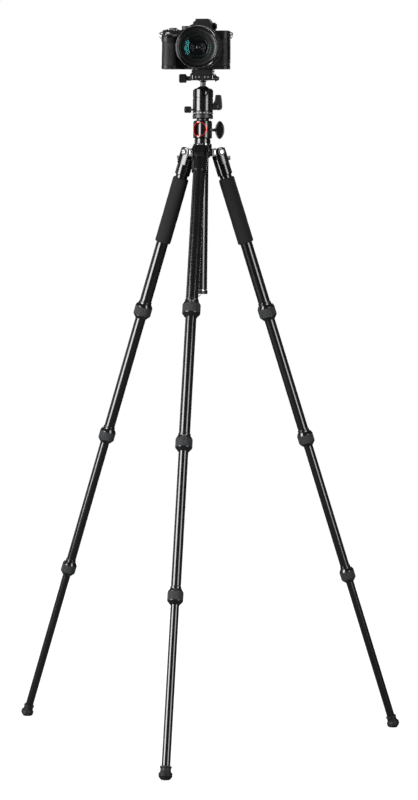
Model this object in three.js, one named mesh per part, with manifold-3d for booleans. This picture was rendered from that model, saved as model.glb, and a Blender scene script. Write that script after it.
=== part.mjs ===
// A digital mirrorless camera with a zoom lens, clamped on the ball head of a four-section travel tripod.
// Millimetres, +Z up. The feet stand on z = 0 and the origin is under the middle of the footprint.
// The front leg and the lens point along -Y, so +X is on the right of someone who faces the lens.

import * as THREE from "three";
import { mergeVertices } from "three/addons/utils/BufferGeometryUtils.js";
import Module from "manifold-3d";

const wasm = await Module();
wasm.setup();

// ---------------------------------------------------------------- driving dimensions

const GAP = 0.3; // air between two pieces that touch or run on each other
const SIDES = 16; // facets round a tube, a twist lock or a small knob
const FINE_SIDES = 24; // facets round the head, the column parts and the lens

const LEG = {
  tilt: 19.44, // degrees from vertical, with the leg resting on its first angle stop
  pivotRadius: 34.2, // column axis to leg pivot
  pivotToCollar: 331.8, // along the leg, to the middle of the first twist lock
  collarSpacing: [267.9, 293.8], // first twist lock to second, second to third
  collarToSole: 335.4, // third twist lock to the floor
  tubeOuter: 24, // diameter of the top section
  tubeWall: 1.1,
  tubeStart: 20, // pivot to the top end of the first tube
  overlap: 60, // length of each tube that stays inside the one above
};
const COLLAR = {
  outer: [35, 32.4, 29.8],
  length: [31, 30, 29.5],
  bushWall: 1.2, // thickness of the threaded bush that each tube ends in
  bushShows: 4.5, // how much of the bush stands above its twist lock
  lip: 9, // length of the twist lock that grips the thinner tube
  topSlope: 5.5,
  bottomSlope: 7,
  edge: 0.8, // flat ring left at each end
};
const FOOT = { ring: 21.4, waist: 19.2, bulb: 25.4, tip: 10, length: 24.5, tubeDepth: 10, overshoot: 1.8 };
const GRIP = { outer: 32, start: 52.7, end: 187, round: 2 };
const YOKE = { cheek: 2.4, knuckle: 10, sleeveOuter: 29.8, sleeveEnd: 47, webTop: 10.5 };
const ARM = { width: 25.3, round: 9.3, top: 6.2 };
const BOLT = { shaft: 6, head: 8.8, headHeight: 1.9 };
const TAB = { width: 17, height: 4.6, start: 12.3, inner: 5, outer: 18.6, lipDrop: 4, lipThick: 2.2 };
const HUB = { wall: 5.6, above: 9.9, barrelWall: 2.2, below: 12 }; // walls round the column's bore
const COLUMN = { outer: 25, wall: 1.5, below: 270.5, capLength: 6.5, capRing: 2.6, capProud: 0.7 };
const LOCK_RING = { height: 4.6, notches: 12, notchDepth: 1.6, notchWidth: 3 };
const PIVOT_HEAD = {
  wall: 5.85, // round the column's bore
  sleeveWall: 3.05,
  sleeveHeight: 10,
  height: 35,
  roof: 2.2,
  window: 29,
  windowUp: 17.4, // middle of the round window above the bottom of the thick part
  windowTurn: -16, // degrees, from the front leg towards the left leg
  chamfer: 1.5,
};
// The stem ends short of the column, and the leaf starts clear of the pivot head.
const WING = { stem: 6.4, clear: 0.8, out: 5.35, leaf: 19, halfHeight: 18, thick: 5, tip: 2 };
const PAN = {
  outer: 40,
  neck: 24,
  neckHeight: 3.2,
  discHeight: 8.7,
  ringHeight: 5.6,
  groove: 0.5,
  spigot: 24,
};
const HEAD = { pan: 1.4, tilt: 6 }; // degrees: how the head is turned and nodded
const HOUSING = {
  outer: 40,
  height: 44.5,
  ballDown: 9, // rim to the middle of the ball
  chamfer: 2.5,
  notchWidth: 14,
  notchTurn: 15, // degrees, from the lens direction towards the lever
  notchDrop: 7, // below the middle of the ball
};
const BALL = { diameter: 32, stem: 10.8, flangeUp: 22.6, post: 8, postTop: 33 };
// Lengths of the lever and the pan knob are from the face of the housing.
const LEVER = {
  up: 10,
  shaft: 6,
  hub: 14,
  bite: 5.8,
  hubLength: 10.7,
  length: 17.7,
  armTop: 23,
  armDepth: 11,
};
const PAN_KNOB = { up: 4.2, stem: 4.4, outer: 13, out: 2.7, length: 13.4, bite: 3.7 };
const CLAMP = {
  base: 25.5, // ball centre to the clamp's underside
  floor: 35.9, // to the seat of the plate
  top: 41.2, // to the tops of the jaws
  wall: 4.1, // outside the plate's seat
  length: 50,
  jaw: 3.7,
  coneTop: 10,
  screwUp: 29.6,
  screw: 5,
};
// Half widths of the rail under the plate, and the heights of its foot and its slope.
const DOVETAIL = { foot: 18.9, waist: 16, footHeight: 2.2, slopeHeight: 2.9 };
const PLATE = { half: 20.3, length: 52, top: 46.7 };
const CLAMP_KNOB = { outer: 17.3, neck: 9.3, neckLength: 9.4, length: 14 };
const CLAMP_LOCK = { wide: 12.4, narrow: 6, length: 8 };
const CAMERA = {
  base: 47, // ball centre to the camera's underside
  left: 78.5, // grip side, from the lens axis
  right: 52.5,
  front: 20, // body faces, from the tripod screw's axis
  back: 22,
  deck: 75.3,
  gripDeck: 76.3,
  top: 97.7,
  axisUp: 41,
  gripFront: 48,
  gripWidth: 33,
  gripTop: 64,
};
const HUMP = { topLeft: 12.5, topRight: 13, footLeft: 22, footRight: 20, front: 27, back: 24 };
const EYECUP = { left: 20, right: 22.5, bottom: 72, top: 91.5, depth: 13 };
const SHOE = { width: 19, length: 20, depth: 1.8 };
const MOUNT = { outer: 66, height: 2 };
const LENS = {
  end: 133, // its front rim
  mountOuter: 64,
  zoomFrom: 54,
  zoomTo: 92,
  focusFrom: 98,
  focusTo: 113,
  barrel: 79, // fixed barrel
  inner: 70, // moving barrel, under the focus ring
  ringWall: 2.7,
  rim: 80.5,
  rimLength: 18,
  mouth: 74.5,
  glass: 63,
  glassDepth: 14, // rim to the edge of the front glass
  glassCrown: 5,
};
const SHUTTER = { x: -66, y: -34, outer: 11, proud: 3.2, well: 4 };
const DIAL = { x: -33.5, y: 4, outer: 18, height: 8 };
const SCREEN = { left: 38, right: 42, bottom: 5, top: 66, thick: 5.5 };

// ---------------------------------------------------------------- places that follow from them

const rad = THREE.MathUtils.degToRad;
const LEGS = [
  { side: "front", turn: -90 },
  { side: "right", turn: 30 },
  { side: "left", turn: 150 },
];
const collarAt = [LEG.pivotToCollar];
for (const step of LEG.collarSpacing) collarAt.push(collarAt.at(-1) + step);
const legReach = collarAt.at(-1) + LEG.collarToSole;
const pivotHeight = legReach * Math.cos(rad(LEG.tilt));
const tubeRadius = (section) => LEG.tubeOuter / 2 - section * (LEG.tubeWall + GAP);
const hubTop = pivotHeight + HUB.above;
const ringTop = hubTop + GAP + LOCK_RING.height;
const pivotHeadFoot = ringTop + GAP;
const blockFoot = pivotHeadFoot + PIVOT_HEAD.sleeveHeight;
const blockTop = blockFoot + PIVOT_HEAD.height;
const panFoot = blockTop + GAP;
const panTop = panFoot + PAN.neckHeight + PAN.discHeight + PAN.ringHeight;
const housingFoot = panTop + GAP;
const ballHeight = housingFoot + HOUSING.height - HOUSING.ballDown;
const ballRadius = BALL.diameter / 2;
const columnBore = COLUMN.outer / 2 + GAP;
const hubRadius = columnBore + HUB.wall;
const pivotHeadRadius = columnBore + PIVOT_HEAD.wall;
const wingStart = columnBore + WING.clear;
const wingNeck = pivotHeadRadius + WING.out;
const wingReach = wingNeck + WING.leaf;
const housingFace = HOUSING.outer / 2 + GAP; // where a knob's shoulder runs
const clampHalf = DOVETAIL.foot + GAP + CLAMP.wall;
const lensStart = CAMERA.front + MOUNT.height + GAP;

// ---------------------------------------------------------------- finishes

function finish(color, roughness, metalness) {
  return new THREE.MeshStandardMaterial({ color, roughness, metalness });
}

const anodised = finish(0x0b0b0c, 0.22, 0.9);
const anodisedSatin = finish(0x141517, 0.42, 0.8);
const ribbedRubber = finish(0x2b2d2f, 0.85, 0);
const foam = finish(0x242123, 0.95, 0);
const footRubber = finish(0x161617, 0.8, 0);
const chrome = finish(0xc9cbce, 0.15, 1);
const bodyPlastic = finish(0x17181a, 0.6, 0.1);
const lensBlack = finish(0x121214, 0.5, 0.2);
const glassDark = finish(0x0a1414, 0.05, 0);
const screenBlack = finish(0x08090a, 0.15, 0);

// ---------------------------------------------------------------- building blocks

function asSolid(geometry) {
  const bare = geometry.clone();
  bare.deleteAttribute("normal");
  bare.deleteAttribute("uv");
  const merged = mergeVertices(bare, 1e-4);
  return new wasm.Manifold(
    new wasm.Mesh({
      numProp: 3,
      vertProperties: new Float32Array(merged.attributes.position.array),
      triVerts: new Uint32Array(merged.index.array),
    }),
  );
}

function asGeometry(solid) {
  const mesh = solid.getMesh();
  const geometry = new THREE.BufferGeometry();
  geometry.setAttribute("position", new THREE.BufferAttribute(new Float32Array(mesh.vertProperties), 3));
  geometry.setIndex(new THREE.BufferAttribute(new Uint32Array(mesh.triVerts), 1));
  geometry.computeVertexNormals();
  return geometry;
}

function combine(pieces, cuts = []) {
  let solid = asSolid(pieces[0]);
  for (const piece of pieces.slice(1)) solid = solid.add(asSolid(piece));
  for (const cut of cuts) solid = solid.subtract(asSolid(cut));
  return asGeometry(solid);
}

// A solid of revolution about Z. The outline is [radius, z] pairs, up the outside from the bottom.
// It starts and ends on the axis, or it is a ring whose last pair joins the first.
function turned(outline, sides = SIDES) {
  const onAxis = outline[0][0] === 0;
  const points = outline.map(([r, z]) => new THREE.Vector2(r, z));
  if (!onAxis) points.push(points[0].clone());
  return new THREE.LatheGeometry(points, sides).rotateX(Math.PI / 2);
}

function rod(radius, from, to, sides = SIDES) {
  return turned([[0, from], [radius, from], [radius, to], [0, to]], sides);
}

function sleeve(inner, outer, from, to, sides = SIDES) {
  return turned([[outer, from], [outer, to], [inner, to], [inner, from]], sides);
}

const alongX = (geometry) => geometry.rotateY(Math.PI / 2); // +Z becomes +X
const alongMinusX = (geometry) => geometry.rotateY(-Math.PI / 2);
const alongMinusY = (geometry) => geometry.rotateX(Math.PI / 2); // +Z becomes -Y

function box(x0, x1, y0, y1, z0, z1) {
  const block = new THREE.BoxGeometry(x1 - x0, y1 - y0, z1 - z0);
  return block.translate((x0 + x1) / 2, (y0 + y1) / 2, (z0 + z1) / 2);
}

// A plan outline, given as a THREE.Shape in X and Y, raised from one height to another.
function raised(shape, from, to, curveSegments = 6) {
  const options = { depth: to - from, bevelEnabled: false, curveSegments };
  return new THREE.ExtrudeGeometry(shape, options).translate(0, 0, from);
}

// A side outline, given as a THREE.Shape in X and Z, drawn out along Y.
function drawn(shape, from, to, curveSegments = 6) {
  const options = { depth: to - from, bevelEnabled: false, curveSegments };
  return new THREE.ExtrudeGeometry(shape, options).rotateX(Math.PI / 2).translate(0, to, 0);
}

function polygon(points) {
  return new THREE.Shape(points.map(([x, y]) => new THREE.Vector2(x, y)));
}

function roundedBox(x0, x1, y0, y1, corners) {
  const [a, b, c, d] = corners; // radii at x0 y0, x1 y0, x1 y1, x0 y1
  const shape = new THREE.Shape();
  shape.moveTo(x0 + a, y0);
  shape.lineTo(x1 - b, y0);
  shape.absarc(x1 - b, y0 + b, b, -Math.PI / 2, 0);
  shape.lineTo(x1, y1 - c);
  shape.absarc(x1 - c, y1 - c, c, 0, Math.PI / 2);
  shape.lineTo(x0 + d, y1);
  shape.absarc(x0 + d, y1 - d, d, Math.PI / 2, Math.PI);
  shape.lineTo(x0, y0 + a);
  shape.absarc(x0 + a, y0 + a, a, Math.PI, 1.5 * Math.PI);
  return shape;
}

function place(name, geometry, material, parent) {
  const mesh = new THREE.Mesh(geometry, material.clone());
  mesh.name = name;
  parent.add(mesh);
}

function groupAt(parent, x, y, z) {
  const group = new THREE.Group();
  group.position.set(x, y, z);
  parent.add(group);
  return group;
}

// ---------------------------------------------------------------- legs
// A leg group's origin is its pivot: -Z runs down the leg, +X is its outer side and Y is the pivot bolt.

function legTube(section) {
  const r = tubeRadius(section);
  const bore = r - LEG.tubeWall;
  if (section === 3) {
    const bottom = -(legReach - FOOT.length + FOOT.tubeDepth);
    return sleeve(bore, r, bottom, -(collarAt[2] - LEG.overlap));
  }
  const top = section === 0 ? -LEG.tubeStart : -(collarAt[section - 1] - LEG.overlap);
  const half = COLLAR.length[section] / 2;
  const bush = r + COLLAR.bushWall;
  const bushTop = -(collarAt[section] - half - COLLAR.bushShows);
  const bushEnd = -(collarAt[section] + half - COLLAR.lip);
  return turned([
    [bush, bushEnd],
    [bush, bushTop],
    [r, bushTop + 0.6],
    [r, top],
    [bore, top],
    [bore, bushEnd],
  ]);
}

function twistLock(section) {
  const outer = COLLAR.outer[section] / 2;
  const half = COLLAR.length[section] / 2;
  const middle = -collarAt[section];
  const wide = tubeRadius(section) + COLLAR.bushWall + GAP;
  const narrow = tubeRadius(section + 1) + GAP;
  const shoulder = middle - half + COLLAR.lip - GAP;
  return turned([
    [narrow + COLLAR.edge, middle - half],
    [outer, middle - half + COLLAR.bottomSlope],
    [outer, middle + half - COLLAR.topSlope],
    [wide + COLLAR.edge, middle + half],
    [wide, middle + half],
    [wide, shoulder],
    [narrow, shoulder],
    [narrow, middle - half],
  ]);
}

function foot() {
  const top = -(legReach - FOOT.length);
  const bottom = -(legReach + FOOT.overshoot);
  const bore = tubeRadius(3) + GAP;
  const socket = top - FOOT.tubeDepth - GAP;
  const whole = turned([
    [0, bottom],
    [FOOT.tip / 2, bottom],
    [FOOT.bulb / 2 - 3, bottom + 4],
    [FOOT.bulb / 2, bottom + 8],
    [FOOT.bulb / 2, bottom + 13.5],
    [FOOT.waist / 2, bottom + 16.5],
    [FOOT.waist / 2, top - 4],
    [FOOT.ring / 2, top - 2.6],
    [FOOT.ring / 2, top],
    [bore, top],
    [bore, socket],
    [0, socket],
  ]);
  // The sole is worn flat where it meets the floor.
  const floor = box(-60, 60, -60, 60, -60, 0).rotateY(rad(LEG.tilt)).translate(0, 0, -legReach);
  return combine([whole], [floor]);
}

function foamGrip() {
  const outer = GRIP.outer / 2;
  const bore = LEG.tubeOuter / 2 + GAP;
  return turned([
    [outer - GRIP.round, -GRIP.end],
    [outer, -GRIP.end + GRIP.round],
    [outer, -GRIP.start - GRIP.round],
    [outer - GRIP.round, -GRIP.start],
    [bore, -GRIP.start],
    [bore, -GRIP.end],
  ]);
}

function yoke() {
  const inside = ARM.width / 2 + GAP;
  const outside = inside + YOKE.cheek;
  const knuckle = new THREE.Shape();
  knuckle.moveTo(-YOKE.knuckle, -YOKE.webTop - 12);
  knuckle.lineTo(YOKE.knuckle, -YOKE.webTop - 12);
  knuckle.lineTo(YOKE.knuckle, 0);
  knuckle.absarc(0, 0, YOKE.knuckle, 0, Math.PI);
  const cheeks = drawn(knuckle, -outside, outside, 8);
  const barrel = rod(YOKE.sleeveOuter / 2, -YOKE.sleeveEnd, -YOKE.webTop);
  const armRoom = box(-40, 40, -inside, inside, -YOKE.webTop, 40);
  const boltBore = alongMinusY(rod(BOLT.shaft / 2 + GAP, -40, 40));
  const tubeBore = rod(LEG.tubeOuter / 2 + GAP, -YOKE.sleeveEnd - 1, -LEG.tubeStart + GAP);
  const tabHalf = TAB.width / 2 + GAP;
  const tabFoot = -TAB.start - TAB.height - GAP;
  const tabRoom = box(TAB.inner - GAP, 40, -tabHalf, tabHalf, tabFoot, -TAB.start + GAP);
  return combine([cheeks, barrel], [armRoom, boltBore, tubeBore, tabRoom]);
}

function angleLockTab() {
  const half = TAB.width / 2;
  const slider = box(TAB.inner, TAB.outer, -half, half, -TAB.start - TAB.height, -TAB.start);
  const lipFoot = -TAB.start - TAB.height - TAB.lipDrop;
  const lip = box(TAB.outer - TAB.lipThick, TAB.outer, -half + 3, half - 3, lipFoot, -TAB.start - 1);
  return combine([slider, lip]);
}

function pivotBolt() {
  const shaft = BOLT.shaft / 2;
  const head = BOLT.head / 2;
  const grip = ARM.width / 2 + GAP + YOKE.cheek + GAP;
  const end = grip + BOLT.headHeight;
  return alongMinusY(
    turned([
      [0, -end], [head, -end], [head, -grip], [shaft, -grip],
      [shaft, grip], [head, grip], [head, end], [0, end],
    ]),
  );
}

function buildLegs(tripod) {
  for (const { side, turn } of LEGS) {
    const bearing = rad(turn);
    const x = LEG.pivotRadius * Math.cos(bearing);
    const y = LEG.pivotRadius * Math.sin(bearing);
    const hip = groupAt(tripod, x, y, pivotHeight);
    hip.rotation.z = bearing;
    place(`pivot_bolt_${side}`, pivotBolt(), chrome, hip);
    const leg = groupAt(hip, 0, 0, 0);
    leg.rotation.y = -rad(LEG.tilt);
    place(`leg_yoke_${side}`, yoke(), anodisedSatin, leg);
    place(`angle_lock_${side}`, angleLockTab(), anodisedSatin, leg);
    for (let section = 0; section < 4; section++) {
      place(`leg_tube_${section + 1}_${side}`, legTube(section), anodised, leg);
    }
    for (let section = 0; section < 3; section++) {
      place(`twist_lock_${section + 1}_${side}`, twistLock(section), ribbedRubber, leg);
    }
    place(`foot_${side}`, foot(), footRubber, leg);
    if (side !== "front") place(`foam_grip_${side}`, foamGrip(), foam, leg);
  }
}

// ---------------------------------------------------------------- spider and column

function spider() {
  const arm = new THREE.Shape();
  arm.moveTo(0, -ARM.round);
  arm.lineTo(LEG.pivotRadius, -ARM.round);
  arm.absarc(LEG.pivotRadius, 0, ARM.round, -Math.PI / 2, Math.PI / 2);
  arm.lineTo(LEG.pivotRadius - ARM.round, ARM.top);
  arm.lineTo(0, ARM.top);
  const hub = turned([
    [0, -HUB.below],
    [columnBore + HUB.barrelWall, -HUB.below],
    [columnBore + HUB.barrelWall, -ARM.round],
    [hubRadius, -ARM.round],
    [hubRadius, HUB.above],
    [0, HUB.above],
  ], FINE_SIDES);
  const pieces = [hub];
  const cuts = [rod(columnBore, -HUB.below - 1, HUB.above + 1, FINE_SIDES)];
  for (const { turn } of LEGS) {
    pieces.push(drawn(arm, -ARM.width / 2, ARM.width / 2, 8).rotateZ(rad(turn)));
    const bore = alongMinusY(rod(BOLT.shaft / 2 + GAP, -40, 40)).translate(LEG.pivotRadius, 0, 0);
    cuts.push(bore.rotateZ(rad(turn)));
  }
  return combine(pieces, cuts).translate(0, 0, pivotHeight);
}

function columnLockRing() {
  const outer = hubRadius;
  const ring = sleeve(columnBore, outer, hubTop + GAP, ringTop, FINE_SIDES);
  const cuts = [];
  for (let i = 0; i < LOCK_RING.notches; i++) {
    const half = LOCK_RING.notchWidth / 2;
    const notch = box(outer - LOCK_RING.notchDepth, outer + 5, -half, half, ringTop - 2, ringTop + 1);
    cuts.push(notch.rotateZ((i * 2 * Math.PI) / LOCK_RING.notches));
  }
  return combine([ring], cuts);
}

const columnFoot = pivotHeight - COLUMN.below;

function column() {
  const top = blockTop - PIVOT_HEAD.roof - GAP;
  return sleeve(COLUMN.outer / 2 - COLUMN.wall, COLUMN.outer / 2, columnFoot, top, FINE_SIDES);
}

function columnCap() {
  const plug = COLUMN.outer / 2 - COLUMN.wall - GAP;
  const top = columnFoot - GAP;
  const wide = COLUMN.outer / 2 + COLUMN.capProud;
  const ringFoot = top - COLUMN.capRing;
  const bottom = ringFoot - COLUMN.capLength;
  return turned([
    [0, bottom], [wide - 1, bottom], [wide, bottom + 1], [wide, ringFoot - 0.4], [COLUMN.outer / 2, ringFoot],
    [COLUMN.outer / 2, top], [plug, top], [plug, top + 8], [0, top + 8],
  ], FINE_SIDES);
}

function pivotHead() {
  const wide = pivotHeadRadius;
  const bore = columnBore;
  const neck = bore + PIVOT_HEAD.sleeveWall;
  const roofFoot = blockTop - PIVOT_HEAD.roof;
  const edge = PIVOT_HEAD.chamfer;
  const block = turned([
    [0, roofFoot],
    [bore, roofFoot],
    [bore, pivotHeadFoot],
    [neck, pivotHeadFoot],
    [neck, blockFoot],
    [wide - edge, blockFoot],
    [wide, blockFoot + edge],
    [wide, blockTop - edge],
    [wide - edge, blockTop],
    [0, blockTop],
  ], FINE_SIDES);
  const middle = blockFoot + PIVOT_HEAD.windowUp;
  const window = alongMinusY(rod(PIVOT_HEAD.window / 2, -40, 40));
  const stemBore = alongX(rod(WING.stem / 2 + GAP, wingStart - GAP, 40));
  return combine([block], [
    window.rotateZ(rad(PIVOT_HEAD.windowTurn)).translate(0, 0, middle),
    stemBore.translate(0, 0, middle),
  ]);
}

function wingKnob() {
  const leaf = new THREE.Shape();
  const { halfHeight, tip } = WING;
  const neck = wingNeck;
  const reach = wingReach;
  const middle = (neck + reach) / 2;
  leaf.moveTo(middle - tip, -halfHeight + 1);
  leaf.lineTo(middle + tip, -halfHeight + 1);
  leaf.bezierCurveTo(reach - 2, -halfHeight / 2, reach, -halfHeight / 4, reach, 0);
  leaf.bezierCurveTo(reach, halfHeight / 4, reach - 2, halfHeight / 2, middle + tip, halfHeight - 1);
  leaf.lineTo(middle, halfHeight);
  leaf.lineTo(middle - tip, halfHeight - 1);
  leaf.bezierCurveTo(neck + 2, halfHeight / 2, neck, halfHeight / 4, neck, 0);
  leaf.bezierCurveTo(neck, -halfHeight / 4, neck + 2, -halfHeight / 2, middle - tip, -halfHeight + 1);
  const stem = alongX(rod(WING.stem / 2, wingStart, middle, 12));
  const ridge = alongX(rod(WING.thick / 2 + 1, neck + 2, reach - 1, 12));
  const knob = combine([drawn(leaf, -WING.thick / 2, WING.thick / 2), stem, ridge]);
  return knob.translate(0, 0, blockFoot + PIVOT_HEAD.windowUp);
}

function buildColumn(tripod) {
  place("spider", spider(), anodisedSatin, tripod);
  place("column_lock_ring", columnLockRing(), anodisedSatin, tripod);
  place("column", column(), anodised, tripod);
  place("column_cap", columnCap(), anodisedSatin, tripod);
  place("pivot_head", pivotHead(), anodised, tripod);
  place("wing_knob", wingKnob(), anodisedSatin, tripod);
}

// ---------------------------------------------------------------- ball head

function panBase() {
  const outer = PAN.outer / 2;
  const discFoot = panFoot + PAN.neckHeight;
  const grooveAt = discFoot + PAN.discHeight;
  return turned([
    [0, panFoot],
    [PAN.neck / 2, panFoot],
    [PAN.neck / 2, discFoot],
    [outer - 1, discFoot],
    [outer, discFoot + 1],
    [outer, grooveAt - PAN.groove],
    [outer - PAN.groove, grooveAt],
    [outer, grooveAt + PAN.groove],
    [outer, panTop],
    [PAN.spigot / 2, panTop],
    [PAN.spigot / 2, panTop + PAN.neckHeight],
    [0, panTop + PAN.neckHeight],
  ], FINE_SIDES);
}

function ballHousing() {
  const outer = HOUSING.outer / 2;
  const rim = housingFoot + HOUSING.height;
  const socket = ballRadius + GAP;
  const recess = panTop + PAN.neckHeight + GAP;
  const recessRadius = PAN.spigot / 2 + GAP;
  const outline = [
    [0, recess],
    [recessRadius, recess],
    [recessRadius, housingFoot],
    [outer, housingFoot],
    [outer, rim - HOUSING.chamfer],
    [outer - HOUSING.chamfer, rim],
  ];
  const steps = 8;
  const first = Math.asin(HOUSING.ballDown / socket);
  for (let i = 0; i <= steps; i++) {
    const angle = first - ((first + Math.PI / 2) * i) / steps;
    const r = i === steps ? 0 : socket * Math.cos(angle);
    outline.push([r, ballHeight + socket * Math.sin(angle)]);
  }
  const half = HOUSING.notchWidth / 2;
  const turn = rad(HOUSING.notchTurn);
  const slotFoot = ballHeight + half - HOUSING.notchDrop;
  const slot = box(-half, half, -outer - 5, -socket / 2, slotFoot, rim + 1).rotateZ(turn);
  const slotRound = alongMinusY(rod(half, socket / 2, outer + 5)).translate(0, 0, slotFoot).rotateZ(turn);
  const leverBore = alongX(rod(LEVER.shaft / 2 + GAP, housingFace - LEVER.bite - GAP, outer + 5));
  const knobBore = alongMinusX(rod(PAN_KNOB.stem / 2 + GAP, housingFace - PAN_KNOB.bite - GAP, outer + 5));
  return combine([turned(outline, FINE_SIDES)], [
    slot,
    slotRound,
    leverBore.translate(0, 0, housingFoot + LEVER.up),
    knobBore.translate(0, 0, housingFoot + PAN_KNOB.up),
  ]);
}

function mainLever() {
  const { hub, armTop, armDepth } = LEVER;
  const inside = housingFace;
  const reach = inside + LEVER.length;
  const arm = polygon([
    [inside, -hub / 2],
    [reach - 3.4, -hub / 2],
    [reach, -1.5],
    [reach, 3],
    [reach - 2.2, armTop],
    [inside + 4.4, armTop],
    [inside + 2.7, hub / 2 + 2],
    [inside, hub / 2 - 1],
  ]);
  const pieces = [
    alongX(rod(LEVER.shaft / 2, inside - LEVER.bite, inside + 1, 16)),
    alongX(rod(hub / 2, inside, inside + LEVER.hubLength)),
    drawn(arm, -armDepth / 2, armDepth / 2),
  ];
  return combine(pieces).translate(0, 0, housingFoot + LEVER.up);
}

function panKnob() {
  const stem = PAN_KNOB.stem / 2;
  const outer = PAN_KNOB.outer / 2;
  const bite = housingFace - PAN_KNOB.bite;
  const start = housingFace + PAN_KNOB.out;
  const end = start + PAN_KNOB.length;
  const knob = turned([
    [0, bite],
    [stem, bite],
    [stem, start],
    [outer - 1.5, start],
    [outer, start + 1.5],
    [outer, end - 1.5],
    [outer - 1.5, end],
    [0, end],
  ]);
  return alongMinusX(knob).translate(0, 0, housingFoot + PAN_KNOB.up);
}

// From here up, heights are from the middle of the ball, along its stem.

function ballAndStem() {
  const stem = BALL.stem / 2;
  const outline = [[0, -ballRadius]];
  const steps = 7;
  const last = Math.acos(stem / ballRadius);
  for (let i = 1; i <= steps; i++) {
    const angle = -Math.PI / 2 + ((last + Math.PI / 2) * i) / steps;
    outline.push([ballRadius * Math.cos(angle), ballRadius * Math.sin(angle)]);
  }
  const flange = CLAMP.base - GAP;
  outline.push([stem, BALL.flangeUp], [CLAMP.coneTop, flange], [BALL.post / 2, flange]);
  outline.push([BALL.post / 2, BALL.postTop], [0, BALL.postTop]);
  return turned(outline, FINE_SIDES);
}

// Half of the clamp's section, from the seat of the plate up over the jaw and down its outside.
function jawOutline(side) {
  const seat = DOVETAIL.foot + GAP;
  const slopeFoot = CLAMP.floor + GAP + DOVETAIL.footHeight;
  const lean = (DOVETAIL.foot - DOVETAIL.waist) / DOVETAIL.slopeHeight;
  const lip = seat - (CLAMP.top - slopeFoot) * lean;
  return [
    [seat, slopeFoot],
    [lip, CLAMP.top],
    [clampHalf - 3.4, CLAMP.top],
    [clampHalf, CLAMP.top - 3.7],
    [clampHalf, CLAMP.base + 2],
    [clampHalf - 1.5, CLAMP.base],
  ].map(([x, z]) => [side * x, z]);
}

function clampBody() {
  const split = -clampHalf + CLAMP.jaw + GAP;
  const seat = DOVETAIL.foot + GAP;
  const outline = [[split, CLAMP.floor], [seat, CLAMP.floor], ...jawOutline(1), [split, CLAMP.base]];
  const body = drawn(polygon(outline.reverse()), -CLAMP.length / 2, CLAMP.length / 2);
  const postBore = rod(BALL.post / 2 + GAP, CLAMP.base - 1, BALL.postTop + GAP);
  const start = BALL.post / 2 + 1.5;
  const screwBore = alongMinusX(rod(CLAMP.screw / 2 + GAP, start, clampHalf + 1));
  const lockBore = alongX(rod(CLAMP.screw / 2 + GAP, start, clampHalf + 1));
  return combine([body], [
    postBore,
    screwBore.translate(0, 0, CLAMP.screwUp),
    lockBore.translate(0, 0, CLAMP.screwUp),
  ]);
}

function clampJaw() {
  const inside = -clampHalf + CLAMP.jaw;
  const seat = -(DOVETAIL.foot + GAP);
  const step = CLAMP.floor + GAP;
  const outline = [[inside, CLAMP.base], [inside, step], [Math.max(seat, inside), step], ...jawOutline(-1)];
  const body = drawn(polygon(outline), -CLAMP.length / 2, CLAMP.length / 2);
  const bore = alongMinusX(rod(CLAMP.screw / 2 + GAP, 0, clampHalf + 1));
  return combine([body], [bore.translate(0, 0, CLAMP.screwUp)]);
}

function clampKnob() {
  const { outer, neck } = CLAMP_KNOB;
  const neckEnd = clampHalf + GAP + CLAMP_KNOB.neckLength;
  const end = neckEnd + CLAMP_KNOB.length;
  const screw = CLAMP.screw / 2;
  const start = BALL.post / 2 + 1.5 + GAP;
  const shoulder = clampHalf + GAP;
  const knob = turned([
    [0, start],
    [screw, start],
    [screw, shoulder],
    [neck / 2, shoulder],
    [neck / 2, neckEnd],
    [outer / 2 - 1, neckEnd],
    [outer / 2, neckEnd + 1],
    [outer / 2, end - 1],
    [outer / 2 - 1, end],
    [0, end],
  ]);
  return alongMinusX(knob).translate(0, 0, CLAMP.screwUp);
}

function clampLockKnob() {
  const screw = CLAMP.screw / 2;
  const start = BALL.post / 2 + 1.5 + GAP;
  const shoulder = clampHalf + GAP;
  const end = shoulder + CLAMP_LOCK.length;
  const knob = turned([
    [0, start],
    [screw, start],
    [screw, shoulder],
    [CLAMP_LOCK.wide / 2, shoulder],
    [CLAMP_LOCK.wide / 2, shoulder + 2],
    [CLAMP_LOCK.narrow / 2 + 0.8, end - 3],
    [CLAMP_LOCK.narrow / 2, end],
    [0, end],
  ]);
  return alongX(knob).translate(0, 0, CLAMP.screwUp);
}

function quickPlate() {
  const bottom = CLAMP.floor + GAP;
  const slope = bottom + DOVETAIL.footHeight;
  const waist = slope + DOVETAIL.slopeHeight;
  const slab = Math.max(CLAMP.top + GAP, waist);
  const right = [
    [DOVETAIL.foot, bottom],
    [DOVETAIL.foot, slope],
    [DOVETAIL.waist, waist],
    [DOVETAIL.waist, slab],
    [PLATE.half, slab],
    [PLATE.half, PLATE.top],
  ];
  const left = right.map(([x, z]) => [-x, z]).reverse();
  return drawn(polygon([...right, ...left]), -PLATE.length / 2, PLATE.length / 2);
}

// ---------------------------------------------------------------- camera
// Heights are from the camera's underside, and the origin is the axis of its tripod screw, under the lens.

const gripSlope = Math.atan2(CAMERA.gripDeck - CAMERA.gripTop - 6, CAMERA.gripFront - CAMERA.front);

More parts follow.
